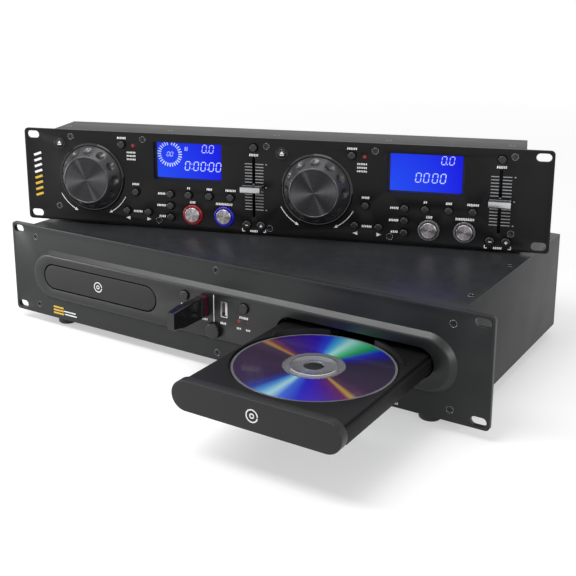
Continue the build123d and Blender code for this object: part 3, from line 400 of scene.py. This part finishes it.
# Camera: a long lens from the right and a little above, shifted down
camera = {"lens": 61.2, "shift": (0.05, -0.15), "place": (0.4573, -0.6296, 0.29145),
          "yaw": 33.31, "pitch": 14.16, "roll": -0.31}
yaw, pitch, roll = (math.radians(camera[key]) for key in ("yaw", "pitch", "roll"))
forward = Vector((-math.sin(yaw) * math.cos(pitch), math.cos(yaw) * math.cos(pitch), -math.sin(pitch)))
right = Vector((math.cos(yaw), math.sin(yaw), 0))
up = right.cross(forward)
right, up = (math.cos(roll) * right + math.sin(roll) * up,
             math.cos(roll) * up - math.sin(roll) * right)
lens = bpy.data.cameras.new("photoCamera")
lens.sensor_width, lens.lens = 36, camera["lens"]
lens.shift_x, lens.shift_y = camera["shift"]
lens.clip_start, lens.clip_end = 0.05, 20
cameraObject = bpy.data.objects.new("photoCamera", lens)
cameraObject.matrix_world = Matrix((
    (right.x, up.x, -forward.x, camera["place"][0]),
    (right.y, up.y, -forward.y, camera["place"][1]),
    (right.z, up.z, -forward.z, camera["place"][2]),
    (0, 0, 0, 1)))
scene.collection.objects.link(cameraObject)
scene.camera = cameraObject

# Studio: white floor and surround; soft light from above, the upper left, the right and low left
studio = {"floorZ": -0.0534, "world": 0.35, "floorGlow": (0.46, 0.8), "glowFrom": (0.5, 2.5)}
softboxes = {"topSoftbox": ((0.1, -0.1, 1.5), (0, 0.1, 0), (0.9, 0.9), 6),
             "upperLeftSoftbox": ((-0.5, -0.6, 1.1), (-0.5, 0, 0), (1.4, 0.35), 14),
             "rightSoftbox": ((1.25, -0.75, 0.4), (0, 0.1, 0), (0.45, 0.45), 5),
             "lowLeftSoftbox": ((-1.0, -0.75, 0.12), (-0.1, 0, 0), (0.4, 0.4), 6)}
scene.view_settings.view_transform = "Standard"


# 1 for the rays that carry the picture, its reflections and what is seen through glass.
def seenByEye(tree):
    rays = addNode(tree, "ShaderNodeLightPath").outputs
    shown = addNode(tree, "ShaderNodeMath", {0: rays["Is Camera Ray"], 1: rays["Is Transmission Ray"]},
                    operation="MAXIMUM")
    return addNode(tree, "ShaderNodeMath", {0: shown.outputs[0], 1: rays["Is Glossy Ray"]},
                   operation="MAXIMUM").outputs[0]


scene.world = bpy.data.worlds.new("whiteStudio")
scene.world.use_nodes = True
tree = scene.world.node_tree
tree.nodes.clear()
seen = seenByEye(tree)
level = addNode(tree, "ShaderNodeMapRange", {
    "Value": seen, "To Min": studio["world"], "To Max": 1.0})
sky = addNode(tree, "ShaderNodeBackground", {"Color": (1, 1, 1, 1), "Strength": level.outputs[0]})
addNode(tree, "ShaderNodeOutputWorld", {"Surface": sky.outputs[0]})

floorPaper, tree, shader = newMaterial("whitePaperSweep", {
    "Base Color": hexLinear("#c8c8c8"), "Roughness": 0.9, "Emission Color": (1, 1, 1, 1)})
seen = seenByEye(tree)
coords = addNode(tree, "ShaderNodeTexCoord").outputs["Object"]
away = addNode(tree, "ShaderNodeVectorMath", {0: coords}, operation="LENGTH")
level = addNode(tree, "ShaderNodeMapRange", {
    "Value": away.outputs["Value"],
    "From Min": studio["glowFrom"][0], "From Max": studio["glowFrom"][1],
    "To Min": studio["floorGlow"][0], "To Max": studio["floorGlow"][1]})
glow = addNode(tree, "ShaderNodeMath", {0: seen, 1: level.outputs[0]}, operation="MULTIPLY")
tree.links.new(glow.outputs[0], shader.inputs["Emission Strength"])
sweep = bmesh.new()
bmesh.ops.create_grid(sweep, x_segments=1, y_segments=1, size=6)
floorMesh = bpy.data.meshes.new("paperSweep")
bmesh.ops.translate(sweep, verts=sweep.verts, vec=(0, 0, studio["floorZ"]))
sweep.to_mesh(floorMesh)
sweep.free()
floorMesh.materials.append(floorPaper)
floor = bpy.data.objects.new("paperSweep", floorMesh)
scene.collection.objects.link(floor)
floor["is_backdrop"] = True


def softLight(name, place, target, size, power):
    light = bpy.data.lights.new(name, "AREA")
    light.shape, light.energy = "RECTANGLE", power
    light.size, light.size_y = size
    lamp = bpy.data.objects.new(name, light)
    aim = (Vector(target) - Vector(place)).to_track_quat("-Z", "Y")
    lamp.matrix_world = Matrix.Translation(place) @ aim.to_matrix().to_4x4()
    scene.collection.objects.link(lamp)


for name, (place, target, size, power) in softboxes.items():
    softLight(name, place, target, size, power)
print("camera and studio set")

# Player: case, lid, panel, screws, feet
dressNode("player_chassis", [powderCoat], edge=0.25)
dressNode("player_top_cover", [lidEnamel], edge=0.3)
dressNode("player_front_panel", [panelPaint, bossPlastic], playerFace, edge=0.35,
          choose=lambda c: 1 if c.z > 0.05 else 0)
dressNode("player_screws", [screwSteel], edge=0.15)
dressNode("player_feet", [rubber], edge=0.8)

screws = {"lip": (2.8, 0.24),
          "player": [(-210.3, 77.0), (210.3, 77.0), (-210.5, 9.6), (210.5, 9.6), (0, 80.5), (0, 7.0)],
          "lid": [(way * 209.4, depth) for way in (-1, 1) for depth in (35, 120, 205)],
          "controller": [(-193.7, 81.7), (-121.7, 81.8), (-4.3, 80.8), (92.7, 81.2), (209.3, 81.6),
                         (-208.9, 14.2), (-107.7, 6.2), (-1.3, 5.5), (107.0, 5.7), (209.3, 15.3)]}


def screwRings(name, places, out, face, body):
    points = bpy.data.meshes.new(name + "Points")
    points.from_pydata([(x, y, out) for x, y in places], [], [])
    radius, wire = screws["lip"]
    # The rings are lighter steel: painted glints on the screw heads
    growOn(name, screwLips, points, {"Radius": radius, "Wire": wire, "Finish": glintLipSteel}, face, body,
           smooth=True)


lidTop = 1000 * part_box("player_top_cover")[1].z
screwRings("player_screw_lips", screws["player"], 0, playerFace, "player")
screwRings("lid_screw_lips", screws["lid"], lidTop, levelFace, "player")
screwRings("controller_screw_lips", screws["controller"], 0, controllerFace, "controller")

playerBits = {"bossOut": 3.9, "lamps": [(25.4, 42.0), (34.2, 42.1)], "lampRadius": 1.8,
              "usb": [(-10.2, 48.8), (10.2, 48.8)],
              "jacks": [(-44, 24), (-44, 40), (-28, 24), (-28, 40)]}


def boardFinish(c):
    for k, (x, z) in enumerate(playerBits["lamps"]):
        if math.hypot(c.x - x, c.y - z) < playerBits["lampRadius"] and c.z > -15:
            return 1 + k
    for x, z in playerBits["usb"]:
        if abs(c.x - x) < 3.6 and abs(c.y - z) < 7.2 and c.z > -18:
            return 4 if abs(c.x - x - 0.9) < 0.85 and abs(c.y - z) < 5.6 and c.z > -11.5 else 3
    if c.z < -233 and any(math.hypot(c.x - x, c.y - z) < 4.4 for x, z in playerBits["jacks"]):
        return 3
    if c.z < -195 or (c.z > -17.9 and (abs(c.x) < 34)):
        return 5
    return 5 if c.y > 14 and c.z < -25 else 0


dressNode("player_boards", [boardMask, redLamp, dimLamp, nickelPlate, socketTongue, blackMoulding],
          playerFace, choose=boardFinish)
dressNode("disc_drives", [loaderPlastic], edge=0.2)
print("player case dressed")

# Player: moving pieces. The doors' gap shows as a black line, so their outline is drawn in by a hair.
doorGap = 0.4


def openGap(form):
    for axis in (0, 1):
        low, high = (pick(v.co[axis] for v in form.verts) for pick in (min, max))
        middle, half = (low + high) / 2, (high - low) / 2
        for v in form.verts:
            v.co[axis] = middle + (v.co[axis] - middle) * (half - doorGap) / half


for side in ("left", "right"):
    dressNode(f"{side}_spindle", [loaderPlastic], edge=0.15)
    dressNode(f"{side}_tray", [trayPlastic], edge=0.3)
    dressNode(f"{side}_tray_door", [doorPlastic], playerFace, edge=0.35, reshape=openGap)
    dressNode(f"{side}_open_button", [buttonPlastic])
dressNode("power_button", [buttonPlastic])

stick = {"plugEnd": 4.1, "bandEnd": 9.2}


def cutBand(form):
    geometry = [*form.verts, *form.edges, *form.faces]
    bmesh.ops.bisect_plane(form, geom=geometry, plane_no=(0, 0, 1), plane_co=(0, 0, stick["bandEnd"]))


def stickFinish(c):
    return 2 if c.z < stick["plugEnd"] else 1 if c.z < stick["bandEnd"] else 0


dressNode("usb_stick", [stickPlastic, maroonPlastic, nickelPlate], playerFace, reshape=cutBand,
          choose=stickFinish)

# The disc lies data side up: a painted fan of diffraction colours and highlights spreads from the hub as
# (degrees, colour)
disc = {"centre": (130, -61), "under": 3.05, "thick": 1.2, "radius": 60, "hole": 7.5, "data": (23, 58.3),
        "bend": 0.15, "fan": [
    (0, "#382e42"), (36, "#2a223e"), (48, "#221a7c"), (58, "#1e2ebc"), (68, "#1f9c4e"), (78, "#5cc49c"),
    (88, "#aee6de"), (96, "#4cb4dc"), (106, "#2444d4"), (116, "#2e16ac"), (130, "#361288"),
    (148, "#3e1e68"), (156, "#783e4e"), (160, "#b48c44"), (164, "#4a364e"), (180, "#382a42"),
    (213, "#3e2e4a"), (240, "#3a2a52"), (252, "#2c3c9c"), (260, "#549cdc"), (268, "#acdce4"),
    (276, "#3c6cdc"), (289, "#201cc4"), (300, "#3a16b4"), (312, "#4e1a88"), (322, "#68265c"),
    (326, "#c49c3c"), (330, "#563656"), (342, "#3a2a46"), (360, "#382e42")]}


def discFinish():
    # Clear polycarbonate over aluminium. A fixed fan of colours, painted by angle, stands in for the tracks'
    # diffraction: painted reflection and highlights.
    material, tree, shader = newMaterial("pressedDiscPaintedDiffraction", {
        "Metallic": 0.35, "Specular IOR Level": 0.3, "Coat Weight": 0.3, "Coat Roughness": 0.04})
    coords = addNode(tree, "ShaderNodeTexCoord").outputs["Object"]
    centre = (0.001 * disc["centre"][0], 0.001 * disc["centre"][1], 0)
    away = addNode(tree, "ShaderNodeVectorMath", {0: coords, 1: centre}, operation="SUBTRACT")
    flat = addNode(tree, "ShaderNodeSeparateXYZ", {0: away.outputs[0]})
    angle = addNode(tree, "ShaderNodeMath", {0: flat.outputs["Y"], 1: flat.outputs["X"]}, operation="ARCTAN2")
    share = addNode(tree, "ShaderNodeMath", {0: angle.outputs[0], 1: 2 * math.pi}, operation="DIVIDE")
    whole = addNode(tree, "ShaderNodeMath", {0: share.outputs[0]}, operation="FRACT")
    ramp = addNode(tree, "ShaderNodeValToRGB", {"Fac": whole.outputs[0]})
    ramp.color_ramp.elements[1].position = 1.0
    for k, (turn, code) in enumerate(disc["fan"]):
        stops = ramp.color_ramp.elements
        if k == 0:
            stop = stops[0]
        elif k == len(disc["fan"]) - 1:
            stop = stops[-1]
        else:
            stop = stops.new(turn / 360)
        stop.color = hexLinear(code)
    tree.links.new(ramp.outputs[0], shader.inputs["Base Color"])
    radius = addNode(tree, "ShaderNodeVectorMath", {0: away.outputs[0]}, operation="LENGTH")
    ring = addNode(tree, "ShaderNodeTexNoise", {"W": radius.outputs["Value"], "Scale": 900, "Detail": 2},
                   noise_dimensions="1D")
    gloss = addNode(tree, "ShaderNodeMapRange", {"Value": ring.outputs["Fac"], "To Min": 0.14, "To Max": 0.26})
    tree.links.new(gloss.outputs[0], shader.inputs["Roughness"])
    return material


discPaintedDiffraction = discFinish()
# Clear polycarbonate of the hub and rim over the dark tray
clearHub = coatedFinish("clearPolycarbonate", "#8e8e94", "#a0a0a6", (0.05, 0.1), 4.0, 0.004,
                        Transmission_Weight=0.55)
form = bmesh.new()
top, low = disc["under"] + disc["thick"], disc["under"]
data0, data1 = disc["data"]
hole, rim, bend = disc["hole"], disc["radius"], disc["bend"]
lathe(form, [(hole, low + 0.1), (hole, top - bend), (hole + bend, top),
             (16.4, top), (16.7, top + 0.2), (17.3, top + 0.2), (17.6, top),
             (data0 - 0.8, top), (data0, top), (data1, top),
             (rim - bend, top), (rim, top - bend), (rim, low + bend), (rim - bend, low),
             (hole + bend, low), (hole, low + 0.1)],
      disc["centre"], 192, [0, 0, 0, 0, 2, 2, 0, 2, 1, 0, 0, 0, 0, 1, 0])
bmesh.ops.remove_doubles(form, verts=form.verts, dist=1e-5)
formPiece(form, "pressed_disc", [clearHub, discPaintedDiffraction, nickelPlate], levelFace, "disc",
          ["compact_disc"])
print("trays, buttons, stick and disc made")

# Controller: panel, housing, screws, pads, board
decks = {"left": -107.5, "right": 107.5}
deckPlaces = {"jog": (-65.7, 44.1), "eject": (-97.6, 75.5), "lamp": (-23.9, 75.8),
              "cue": (33.1, 13.8), "play": (63.3, 14.0), "faderAcross": 91.5}


def near(c, deckX, key, radius):
    x, z = deckPlaces[key]
    return math.hypot(c.x - deckX - x, c.y - z) < radius


def controllerFinish(c):
    bezel = any(near(c, x, "jog", 33) or near(c, x, "eject", 6) for x in decks.values())
    return 1 if bezel and c.z > 0.05 else 0


dressNode("controller_panel", [controllerPaint, glossPlastic], controllerFace, edge=0.4,
          choose=controllerFinish)
dressNode("controller_housing", [powderCoat], controllerFace, edge=0.25)
dressNode("controller_screws", [screwSteel], edge=0.15)
dressNode("controller_feet", [rubber])


def lampBoardFinish(c):
    if c.z < -15.9:
        return 6 if c.z < -20 else 0
    for side, x in decks.items():
        if near(c, x, "cue", 9.6):
            return 1 if side == "left" else 3
        if near(c, x, "play", 9.6):
            return 2 if side == "left" else 3
        if near(c, x, "lamp", 1.8):
            return 4
    return 5


def roundRings(form):
    crown = [e for e in form.edges if all(v.co.z > 1.5 for v in e.verts) and len(e.link_faces) == 2
             and e.calc_face_angle() > 0.8]
    bmesh.ops.bevel(form, geom=crown, offset=0.7, segments=4, profile=0.5, affect="EDGES",
                    clamp_overlap=False)


dressNode("controller_board",
          [boardMask, redRing, blueRing, clearRing, redLamp, blackMoulding, blackMoulding],
          controllerFace, choose=lampBoardFinish, reshape=roundRings)
dressNode("displays", [blackMoulding], controllerFace)
print("controller case dressed")


def faceRay(degrees):
    a = math.radians(degrees)
    return (controllerFace.to_3x3() @ Vector((math.cos(a), math.sin(a), 0))).normalized()


# Jog wheels: satin cone with finger dimples round a turned metal top. Lengths in mm.
jog = {"base": 29.8, "neck": 22.6, "baseOut": 2.5, "neckOut": 14.0,
       "dimples": 12, "dimpleRadius": 4.7, "dimpleDeep": 1.7, "coneRows": 22, "steps": 360,
       "crown": [(0, 14.7), (20.6, 14.7), (20.9, 15.0), (21.6, 15.0), (22.2, 14.7)],
       "inside": [(29.8, -2.0), (26.5, -2.0), (25.4, 1.5), (18.2, 10.7), (6, 10.7), (6, -2), (3, -2),
                  (3, -14), (0, -14)]}
slopeLong = math.hypot(jog["base"] - jog["neck"], jog["neckOut"] - jog["baseOut"])


def dimpleWarp(radius, out, angle):
    if not (jog["neck"] < radius < jog["base"] and jog["baseOut"] < out < jog["neckOut"]):
        return radius, out
    along = (radius - jog["neck"]) / (jog["base"] - jog["neck"]) * slopeLong - slopeLong / 2
    pitchAngle = 2 * math.pi / jog["dimples"]
    aside = ((angle + pitchAngle / 2) % pitchAngle - pitchAngle / 2) * radius
    share = math.hypot(along, aside) / jog["dimpleRadius"]
    deep = jog["dimpleDeep"] * (1 - share * share) ** 1.5 if share < 1 else 0
    return (radius - deep * (jog["neckOut"] - jog["baseOut"]) / slopeLong,
            out - deep * (jog["base"] - jog["neck"]) / slopeLong)


for side, x in decks.items():
    centre = (x + deckPlaces["jog"][0], deckPlaces["jog"][1])
    hub = controllerFace @ Vector((*centre, 0))
    axis = (controllerFace.to_3x3() @ Vector((0, 0, 1))).normalized()
    # The turned top carries painted highlight wedges along 10 and 115 degrees across the face
    turnedTop = turnedFinish(f"turnedAluminiumTop_{side}", "#18181a", "#68686a", (0.34, 0.46), hub,
                             axis, 0.9, [(faceRay(10), 22, 0.42), (faceRay(115), 160, 0.35)])
    turnedRim = turnedFinish(f"turnedRim_{side}", "#48484a", "#626264", (0.2, 0.3), hub, axis, 0.3)
    cone = [(jog["neck"] + (jog["base"] - jog["neck"]) * k / jog["coneRows"],
             jog["neckOut"] - (jog["neckOut"] - jog["baseOut"]) * k / jog["coneRows"])
            for k in range(jog["coneRows"] + 1)]
    profile = jog["crown"] + cone + jog["inside"]
    finishes = [0, 1, 1, 2, 2] + [2] * (len(profile) - 6)
    form = bmesh.new()
    lathe(form, profile, centre, jog["steps"], finishes, dimpleWarp)
    formPiece(form, f"{side}_jog_dressed", [turnedTop, turnedRim, jogPlastic], controllerFace,
              bodyOf[f"{side}_jog_wheel"], [f"{side}_jog_wheel"])
print("jog wheels made")

# Buttons of the controller
for node in sorted(bodyOf):
    if node.endswith("_button") and node not in ("power_button", "left_open_button", "right_open_button"):
        if "cue" in node or "play" in node:
            side = node.split("_")[0]
            spot = deckPlaces["cue" if "cue" in node else "play"]
            hub = controllerFace @ Vector((decks[side] + spot[0], spot[1], 0))
            # The caps carry painted highlight wedges along 20, 75 and 130 degrees across the face
            cap = turnedFinish(f"turnedCap_{node}", "#3e383b", "#e8e2e6", (0.22, 0.34), hub, axis, 0.6,
                               [(faceRay(20), 8, 0.45), (faceRay(75), 14, 0.5), (faceRay(130), 10, 0.3)])
            dressNode(node, [cap], controllerFace)
        else:
            dressNode(node, [buttonPlastic], controllerFace)

# Pitch faders: chromed front bar, dark waist, satin rear block.
# Their blocks are (wide, high, low, top, finish), from the rear block to the stem.
fader = {"edge": 0.35, "blocks": [(17.2, 5.0, 0.7, 6.2, 1), (14.2, 3.4, 5.8, 9.4, 2),
                                  (18.2, 5.0, 9.0, 14.0, 0), (1.6, 6.0, -9.0, 1.0, 2)]}
for side, x in decks.items():
    low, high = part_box(f"{side}_pitch_fader")
    fx, fz = x + deckPlaces["faderAcross"], (low.z + high.z) / 2 * 1000 - controllerLow
    form = bmesh.new()
    for wide, high, low, top, finish in fader["blocks"]:
        before = set(form.faces)
        prism(form, rectangle(fx - wide / 2, fz - high / 2, fx + wide / 2, fz + high / 2), low, top, finish)
        edges = {e for f in set(form.faces) - before for e in f.edges}
        bmesh.ops.bevel(form, geom=list(edges), offset=fader["edge"], segments=2, profile=0.6,
                        affect="EDGES", clamp_overlap=True)
    formPiece(form, f"{side}_fader_dressed", [satinChrome, trayPlastic, blackMoulding], controllerFace,
              bodyOf[f"{side}_pitch_fader"], [f"{side}_pitch_fader"], angle=30)
print("buttons and faders made")

# Printing: short strokes stand where the object has words, and plain marks where it has marks
labels = {
    "boss": [(-30.3, 45.6, 9, 2.0), (30.3, 45.6, 9, 2.0), (-9.5, 36.8, 6, 1.9), (9.5, 36.8, 6, 1.9),
             (25.4, 35.5, 4.5, 1.7), (34.5, 35.5, 4.5, 1.7)],
    "player": [(156, 6.8, 22, 2.0), (163, 3.4, 12, 1.8)],
    "deck": [(-35.0, 82.4, 9, 1.9), (-22.4, 39.5, 7, 2.0), (-20.9, 13.7, 9, 2.0), (3.0, 32.0, 7.5, 2.0),
             (2.6, 21.0, 8.5, 2.0), (3.4, 10.6, 6.5, 2.0), (29.4, 38.5, 3.4, 2.0), (49.4, 38.5, 5.4, 2.0),
             (69.6, 38.5, 10, 2.0), (33.1, 25.5, 5.5, 2.2), (63.3, 25.5, 16, 2.2), (91.6, 72.5, 8.5, 2.2),
             (91.4, 2.1, 7.5, 1.9), (-26.0, 69.2, 9, 1.6), (-26.0, 66.0, 9, 1.6), (-26.0, 62.8, 9, 1.6)]}
stroke = {"wide": 0.95, "high": 1.0, "every": 1.5, "slant": -0.2}


def strokes(entries, offset=0.0, out=inkLayer["out"]):
    spots = []
    for x, z, wide, high in entries:
        count = max(2, round(wide / stroke["every"]))
        for k in range(count):
            across = offset + x - wide / 2 + wide * (k + 0.5) / count
            spots.append((across, z, out, stroke["slant"], 1, high))
    return spots


def printLabels(name, spots, face, body):
    printMarks(name, spots, stroke["wide"], stroke["high"], inkLayer["thick"], whiteInk, face, body)


bossInk = playerBits["bossOut"] + inkLayer["out"]
printLabels("boss_labels", strokes(labels["boss"], out=bossInk), playerFace, "player")
printLabels("player_labels", strokes(labels["player"]), playerFace, "player")
deckSpots = [s for x in decks.values() for s in strokes(labels["deck"], x)]
printLabels("controller_labels", deckSpots, controllerFace, "controller")

# Plain bars where the object has its maker's words: a column at the controller's end, a badge by the tray
bars = {"column": (-228.8, 24.5, 5.6, 8), "badge": (-185.5, 11.0), "badgeLines": ((-171, 8.4), (-170, 5.6))}
x, z, pitch, count = bars["column"]
column = [(x, z + k * pitch, inkLayer["out"], 0.35, 1, 1) for k in range(count)]
printMarks("column_lower_bars", column[:count // 2], 8.0, 2.2, inkLayer["thick"], yellowInk,
           controllerFace, "controller")
printMarks("column_upper_bars", column[count // 2:], 8.0, 2.2, inkLayer["thick"], whiteInk,
           controllerFace, "controller")
x, z = bars["badge"]
badge = [(x, z - 3 * k, inkLayer["out"], 0, 1, 1) for k in range(3)]
badgeLines = [(x, z, inkLayer["out"], 0, 1, 1) for x, z in bars["badgeLines"]]
printMarks("badge_bars", badge, 13.0, 1.7, inkLayer["thick"], yellowInk, playerFace, "player")
printMarks("badge_lines", badgeLines, 15.0, 1.2, inkLayer["thick"], whiteInk, playerFace, "player")

pitchScale = {"rows": 16, "pitch": 2.8, "first": 22.3, "left": (83.3, 90), "right": (93, 100.5), "small": 103}
ticks = []
for x in decks.values():
    for row in range(pitchScale["rows"]):
        z = pitchScale["first"] + row * pitchScale["pitch"]
        for a, b in (pitchScale["left"], pitchScale["right"]):
            ticks.append((x + (a + b) / 2, z, inkLayer["out"], 0, (b - a), 1))
    for row in (0, 7.5, 15):
        z = pitchScale["first"] + row * pitchScale["pitch"]
        ticks.append((x + pitchScale["small"], z, inkLayer["out"], 0, 1.4, 1.3))
printMarks("pitch_scales", ticks, 1.0, 0.75, inkLayer["thick"], greyInk, controllerFace, "controller")


def arcOutline(cx, cz, r, half, start, end, steps=24):
    angles = [math.radians(start + (end - start) * k / steps) for k in range(steps + 1)]
    return [(cx + (r + half) * math.cos(a), cz + (r + half) * math.sin(a)) for a in angles] + \
           [(cx + (r - half) * math.cos(a), cz + (r - half) * math.sin(a)) for a in reversed(angles)]


turnArrow = {"radius": 37, "half": 0.32, "headHalf": 1.4, "headLong": 3.2,
             "spans": ((208, 239), (-28, -60))}
bracket = {"across": (80.6, 102.3), "half": 0.35, "low": 1.6, "high": 4.2, "lip": 2.2}
form = bmesh.new()
for x in decks.values():
    jx, jz = x + deckPlaces["jog"][0], deckPlaces["jog"][1]
    radius, half = turnArrow["radius"], turnArrow["headHalf"]
    for start, end in turnArrow["spans"]:
        prism(form, arcOutline(jx, jz, radius, turnArrow["half"], start, end), 0, inkLayer["thick"])
        a, way = math.radians(end), turnArrow["headLong"] if end > start else -turnArrow["headLong"]
        tip = (jx + radius * math.cos(a) - way * math.sin(a), jz + radius * math.sin(a) + way * math.cos(a))
        prism(form, [(jx + (radius - half) * math.cos(a), jz + (radius - half) * math.sin(a)),
                     (jx + (radius + half) * math.cos(a), jz + (radius + half) * math.sin(a)), tip],
              0, inkLayer["thick"])
    for cx, way in ((x - 31.0, -1), (x - 10.0, 1)):  # track arrows
        prism(form, [(cx - way * 2, 5.2), (cx - way * 2, 8.6), (cx + way * 2.2, 6.9)], 0, inkLayer["thick"])
    for cx in bracket["across"]:  # bracket under the bend buttons
        inner = bracket["lip"] if cx < deckPlaces["faderAcross"] else -bracket["lip"]
        x0, x1 = x + cx - bracket["half"], x + cx + bracket["half"]
        prism(form, rectangle(x0, bracket["low"], x1, bracket["high"]), 0, inkLayer["thick"])
        prism(form, rectangle(x + min(cx, cx + inner), 1.3, x + max(cx, cx + inner), 1.9), 0.01, 0.05)
formPiece(form, "controller_arrows", [whiteInk], controllerFace, "controller", angle=20)

# Marks on the moving caps ride with them
capMarks = {
    "eject_button": ([[(-1.9, -0.6), (1.9, -0.6), (0, 2.0)], rectangle(-1.9, -1.9, 1.9, -1.2)], 1.5),
    "bend_minus_button": ([rectangle(-1.3, -0.35, 1.3, 0.35)], 1.6),
    "bend_plus_button": ([rectangle(-1.3, -0.35, 1.3, 0.35), rectangle(-0.35, 0.35, 0.35, 1.3),
                          rectangle(-0.35, -1.3, 0.35, -0.35)], 1.6)}
for side in decks:
    for name, (outlines, proud) in capMarks.items():
        node = f"{side}_{name}"
        low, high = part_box(node)
        middle = controllerFace.inverted() @ ((low + high) / 2)
        form = bmesh.new()
        for outline in outlines:
            prism(form, [(middle.x + a, middle.y + b) for a, b in outline], proud - 0.02, proud + 0.05)
        formPiece(form, f"{node}_mark", [whiteInk], controllerFace, bodyOf[node], angle=20)

form = bmesh.new()
prism(form, rectangle(-0.35, 36.2, 0.35, 60.3), playerBits["bossOut"], playerBits["bossOut"] + 0.05)
formPiece(form, "player_middle_line", [whiteInk], playerFace, "player", angle=20)
for side, x in (("left", -130), ("right", 130)):
    form = bmesh.new()
    doorOut = -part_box(f"{side}_tray_door")[0].y * 1000
    for r in (4.4, 1.5):
        prism(form, arcOutline(x, 42.5, r, 0.45, 0, 350, 36), doorOut - 0.02, doorOut + 0.05)
    formPiece(form, f"{side}_door_mark", [whiteInk], playerFace, f"{side}_tray", angle=20)
print("printing laid on")

# Displays: blue backlit glass with pale segments. Digits are (across, up, wide, high, thick) and
# points are (across, up, size), all from the middle of the glass.
lcd = {
    "centre": (28.7, 62.85), "wide": 65.0, "high": 34.3, "edge": (1.8, 0.9), "deep": -5.5, "thick": 0.5,
    "proud": 0.05, "lean": 1.0,
    # the six lit strokes of a zero, as (x0, z0, x1, z1) of the digit's box
    "zero": [(0, 1, 1, 1), (1, 1, 1, 0.5), (1, 0.5, 1, 0), (0, 0, 1, 0), (0, 0.5, 0, 0), (0, 1, 0, 0.5)],
    "pitchDigits": [(12.5, 8.4, 3.8, 7.0, 0.8), (19.2, 8.4, 3.8, 7.0, 0.8)],
    "leftDigits": [*((dx, -8.5, 4.2, 8.0, 0.85) for dx in (-4.0, 4.2, 11.0, 18.8, 25.6)),
                   *((dx, 3.8, 2.2, 4.0, 0.5) for dx in (-21.6, -18.2))],
    "rightDigits": [(dx, -8.0, 4.2, 8.0, 0.85) for dx in (-9.0, -2.2, 5.2, 12.0)],
    "leftPoints": [(17.2, 8.2, 0.9), *((dx, dz, 0.8) for dx in (2.4, 17.4) for dz in (-7.4, -3.2))],
    "rightPoints": [(17.2, 8.2, 0.9)],
    "dial": {"centre": (-18.5, 5.8), "radius": 10.2, "bars": 28},
    "pause": {"across": (-4.0, -2.2), "low": 9.4, "high": 13.0, "wide": 0.8, "lean": 0.3}}


def litBlueGlass(side, cx, cz):
    # Blue backlit glass: its lamps stand at the lower left corner, so it deepens away from there
    material, tree, shader = newMaterial(f"backlitDisplayBlue_{side}", {
        "Base Color": hexLinear("#02043a"), "Roughness": 0.12, "Specular IOR Level": 0.12,
        "Emission Strength": 0.85})
    coords = addNode(tree, "ShaderNodeTexCoord").outputs["Object"]
    lampEnd = controllerFace @ Vector((cx - lcd["wide"] / 2, cz - lcd["high"] / 2, lcd["deep"]))
    away = addNode(tree, "ShaderNodeVectorMath", {0: coords, 1: lampEnd}, operation="DISTANCE")
    fade = addNode(tree, "ShaderNodeMapRange", {
        "Value": away.outputs["Value"], "From Max": 0.001 * lcd["wide"]})
    blue = addNode(tree, "ShaderNodeMix", {"Factor": fade.outputs[0]}, data_type="RGBA")
    blue.inputs[6].default_value = hexLinear("#1c50ff")
    blue.inputs[7].default_value = hexLinear("#0610ec")
    tree.links.new(blue.outputs[2], shader.inputs["Emission Color"])
    return material


segmentInk = coatedFinish("paleDisplaySegment", "#9aa8f4", "#b8c4ff", (0.3, 0.4), 0.5, 0.002,
                          Emission_Color=hexLinear("#9fb0ff"), Emission_Strength=0.55)


def digit(form, x, z, wide, high, thick, low, top):
    for x0, z0, x1, z1 in lcd["zero"]:
        ax, az = x + x0 * wide + z0 * lcd["lean"], z + z0 * high
        bx, bz = x + x1 * wide + z1 * lcd["lean"], z + z1 * high
        long = math.hypot(bx - ax, bz - az)
        ux, uz = (bx - ax) / long, (bz - az) / long
        trim = thick * 0.6
        ax, az, bx, bz = ax + ux * trim, az + uz * trim, bx - ux * trim, bz - uz * trim
        nx, nz = -uz * thick / 2, ux * thick / 2
        prism(form, [(ax + nx, az + nz), (ax - nx, az - nz), (bx - nx, bz - nz), (bx + nx, bz + nz)], low, top)


for side, x in decks.items():
    cx, cz = x + lcd["centre"][0], lcd["centre"][1]
    low, top = lcd["deep"], lcd["deep"] + lcd["thick"]
    form = bmesh.new()
    w, h = lcd["wide"] / 2 - lcd["edge"][0], lcd["high"] / 2 - lcd["edge"][1]
    prism(form, rectangle(cx - w, cz - h, cx + w, cz + h), low, top)
    formPiece(form, f"{side}_display_glass", [litBlueGlass(side, cx, cz)], controllerFace, "controller",
              angle=20)
    form = bmesh.new()
    proud = top + lcd["proud"]
    for dx, dz, wide, high, thick in lcd["pitchDigits"] + lcd[side + "Digits"]:
        digit(form, cx + dx, cz + dz, wide, high, thick, top, proud)
    for dx, dz, size in lcd[side + "Points"]:
        prism(form, rectangle(cx + dx, cz + dz, cx + dx + size, cz + dz + size), top, proud)
    if side == "left":
        dial, pause = lcd["dial"], lcd["pause"]
        for dx in pause["across"]:
            foot, head = cx + dx, cx + dx + pause["lean"]
            prism(form, [(foot, cz + pause["low"]), (foot + pause["wide"], cz + pause["low"]),
                         (head + pause["wide"], cz + pause["high"]), (head, cz + pause["high"])], top, proud)
        angles = [2 * math.pi * k / dial["bars"] for k in range(dial["bars"])]
        ring = [(cx + dial["centre"][0] + dial["radius"] * math.cos(a),
                 cz + dial["centre"][1] + dial["radius"] * math.sin(a), top + 0.02, a, 1, 1)
                for a in angles if abs(a - math.pi / 2) > 0.1]
        printMarks("display_dial", ring, 3.4, 1.1, 0.05, segmentInk, controllerFace, "controller")
    formPiece(form, f"{side}_display_digits", [segmentInk], controllerFace, "controller", angle=20)
print("displays lit")

low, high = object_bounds()
print("visual model measured")
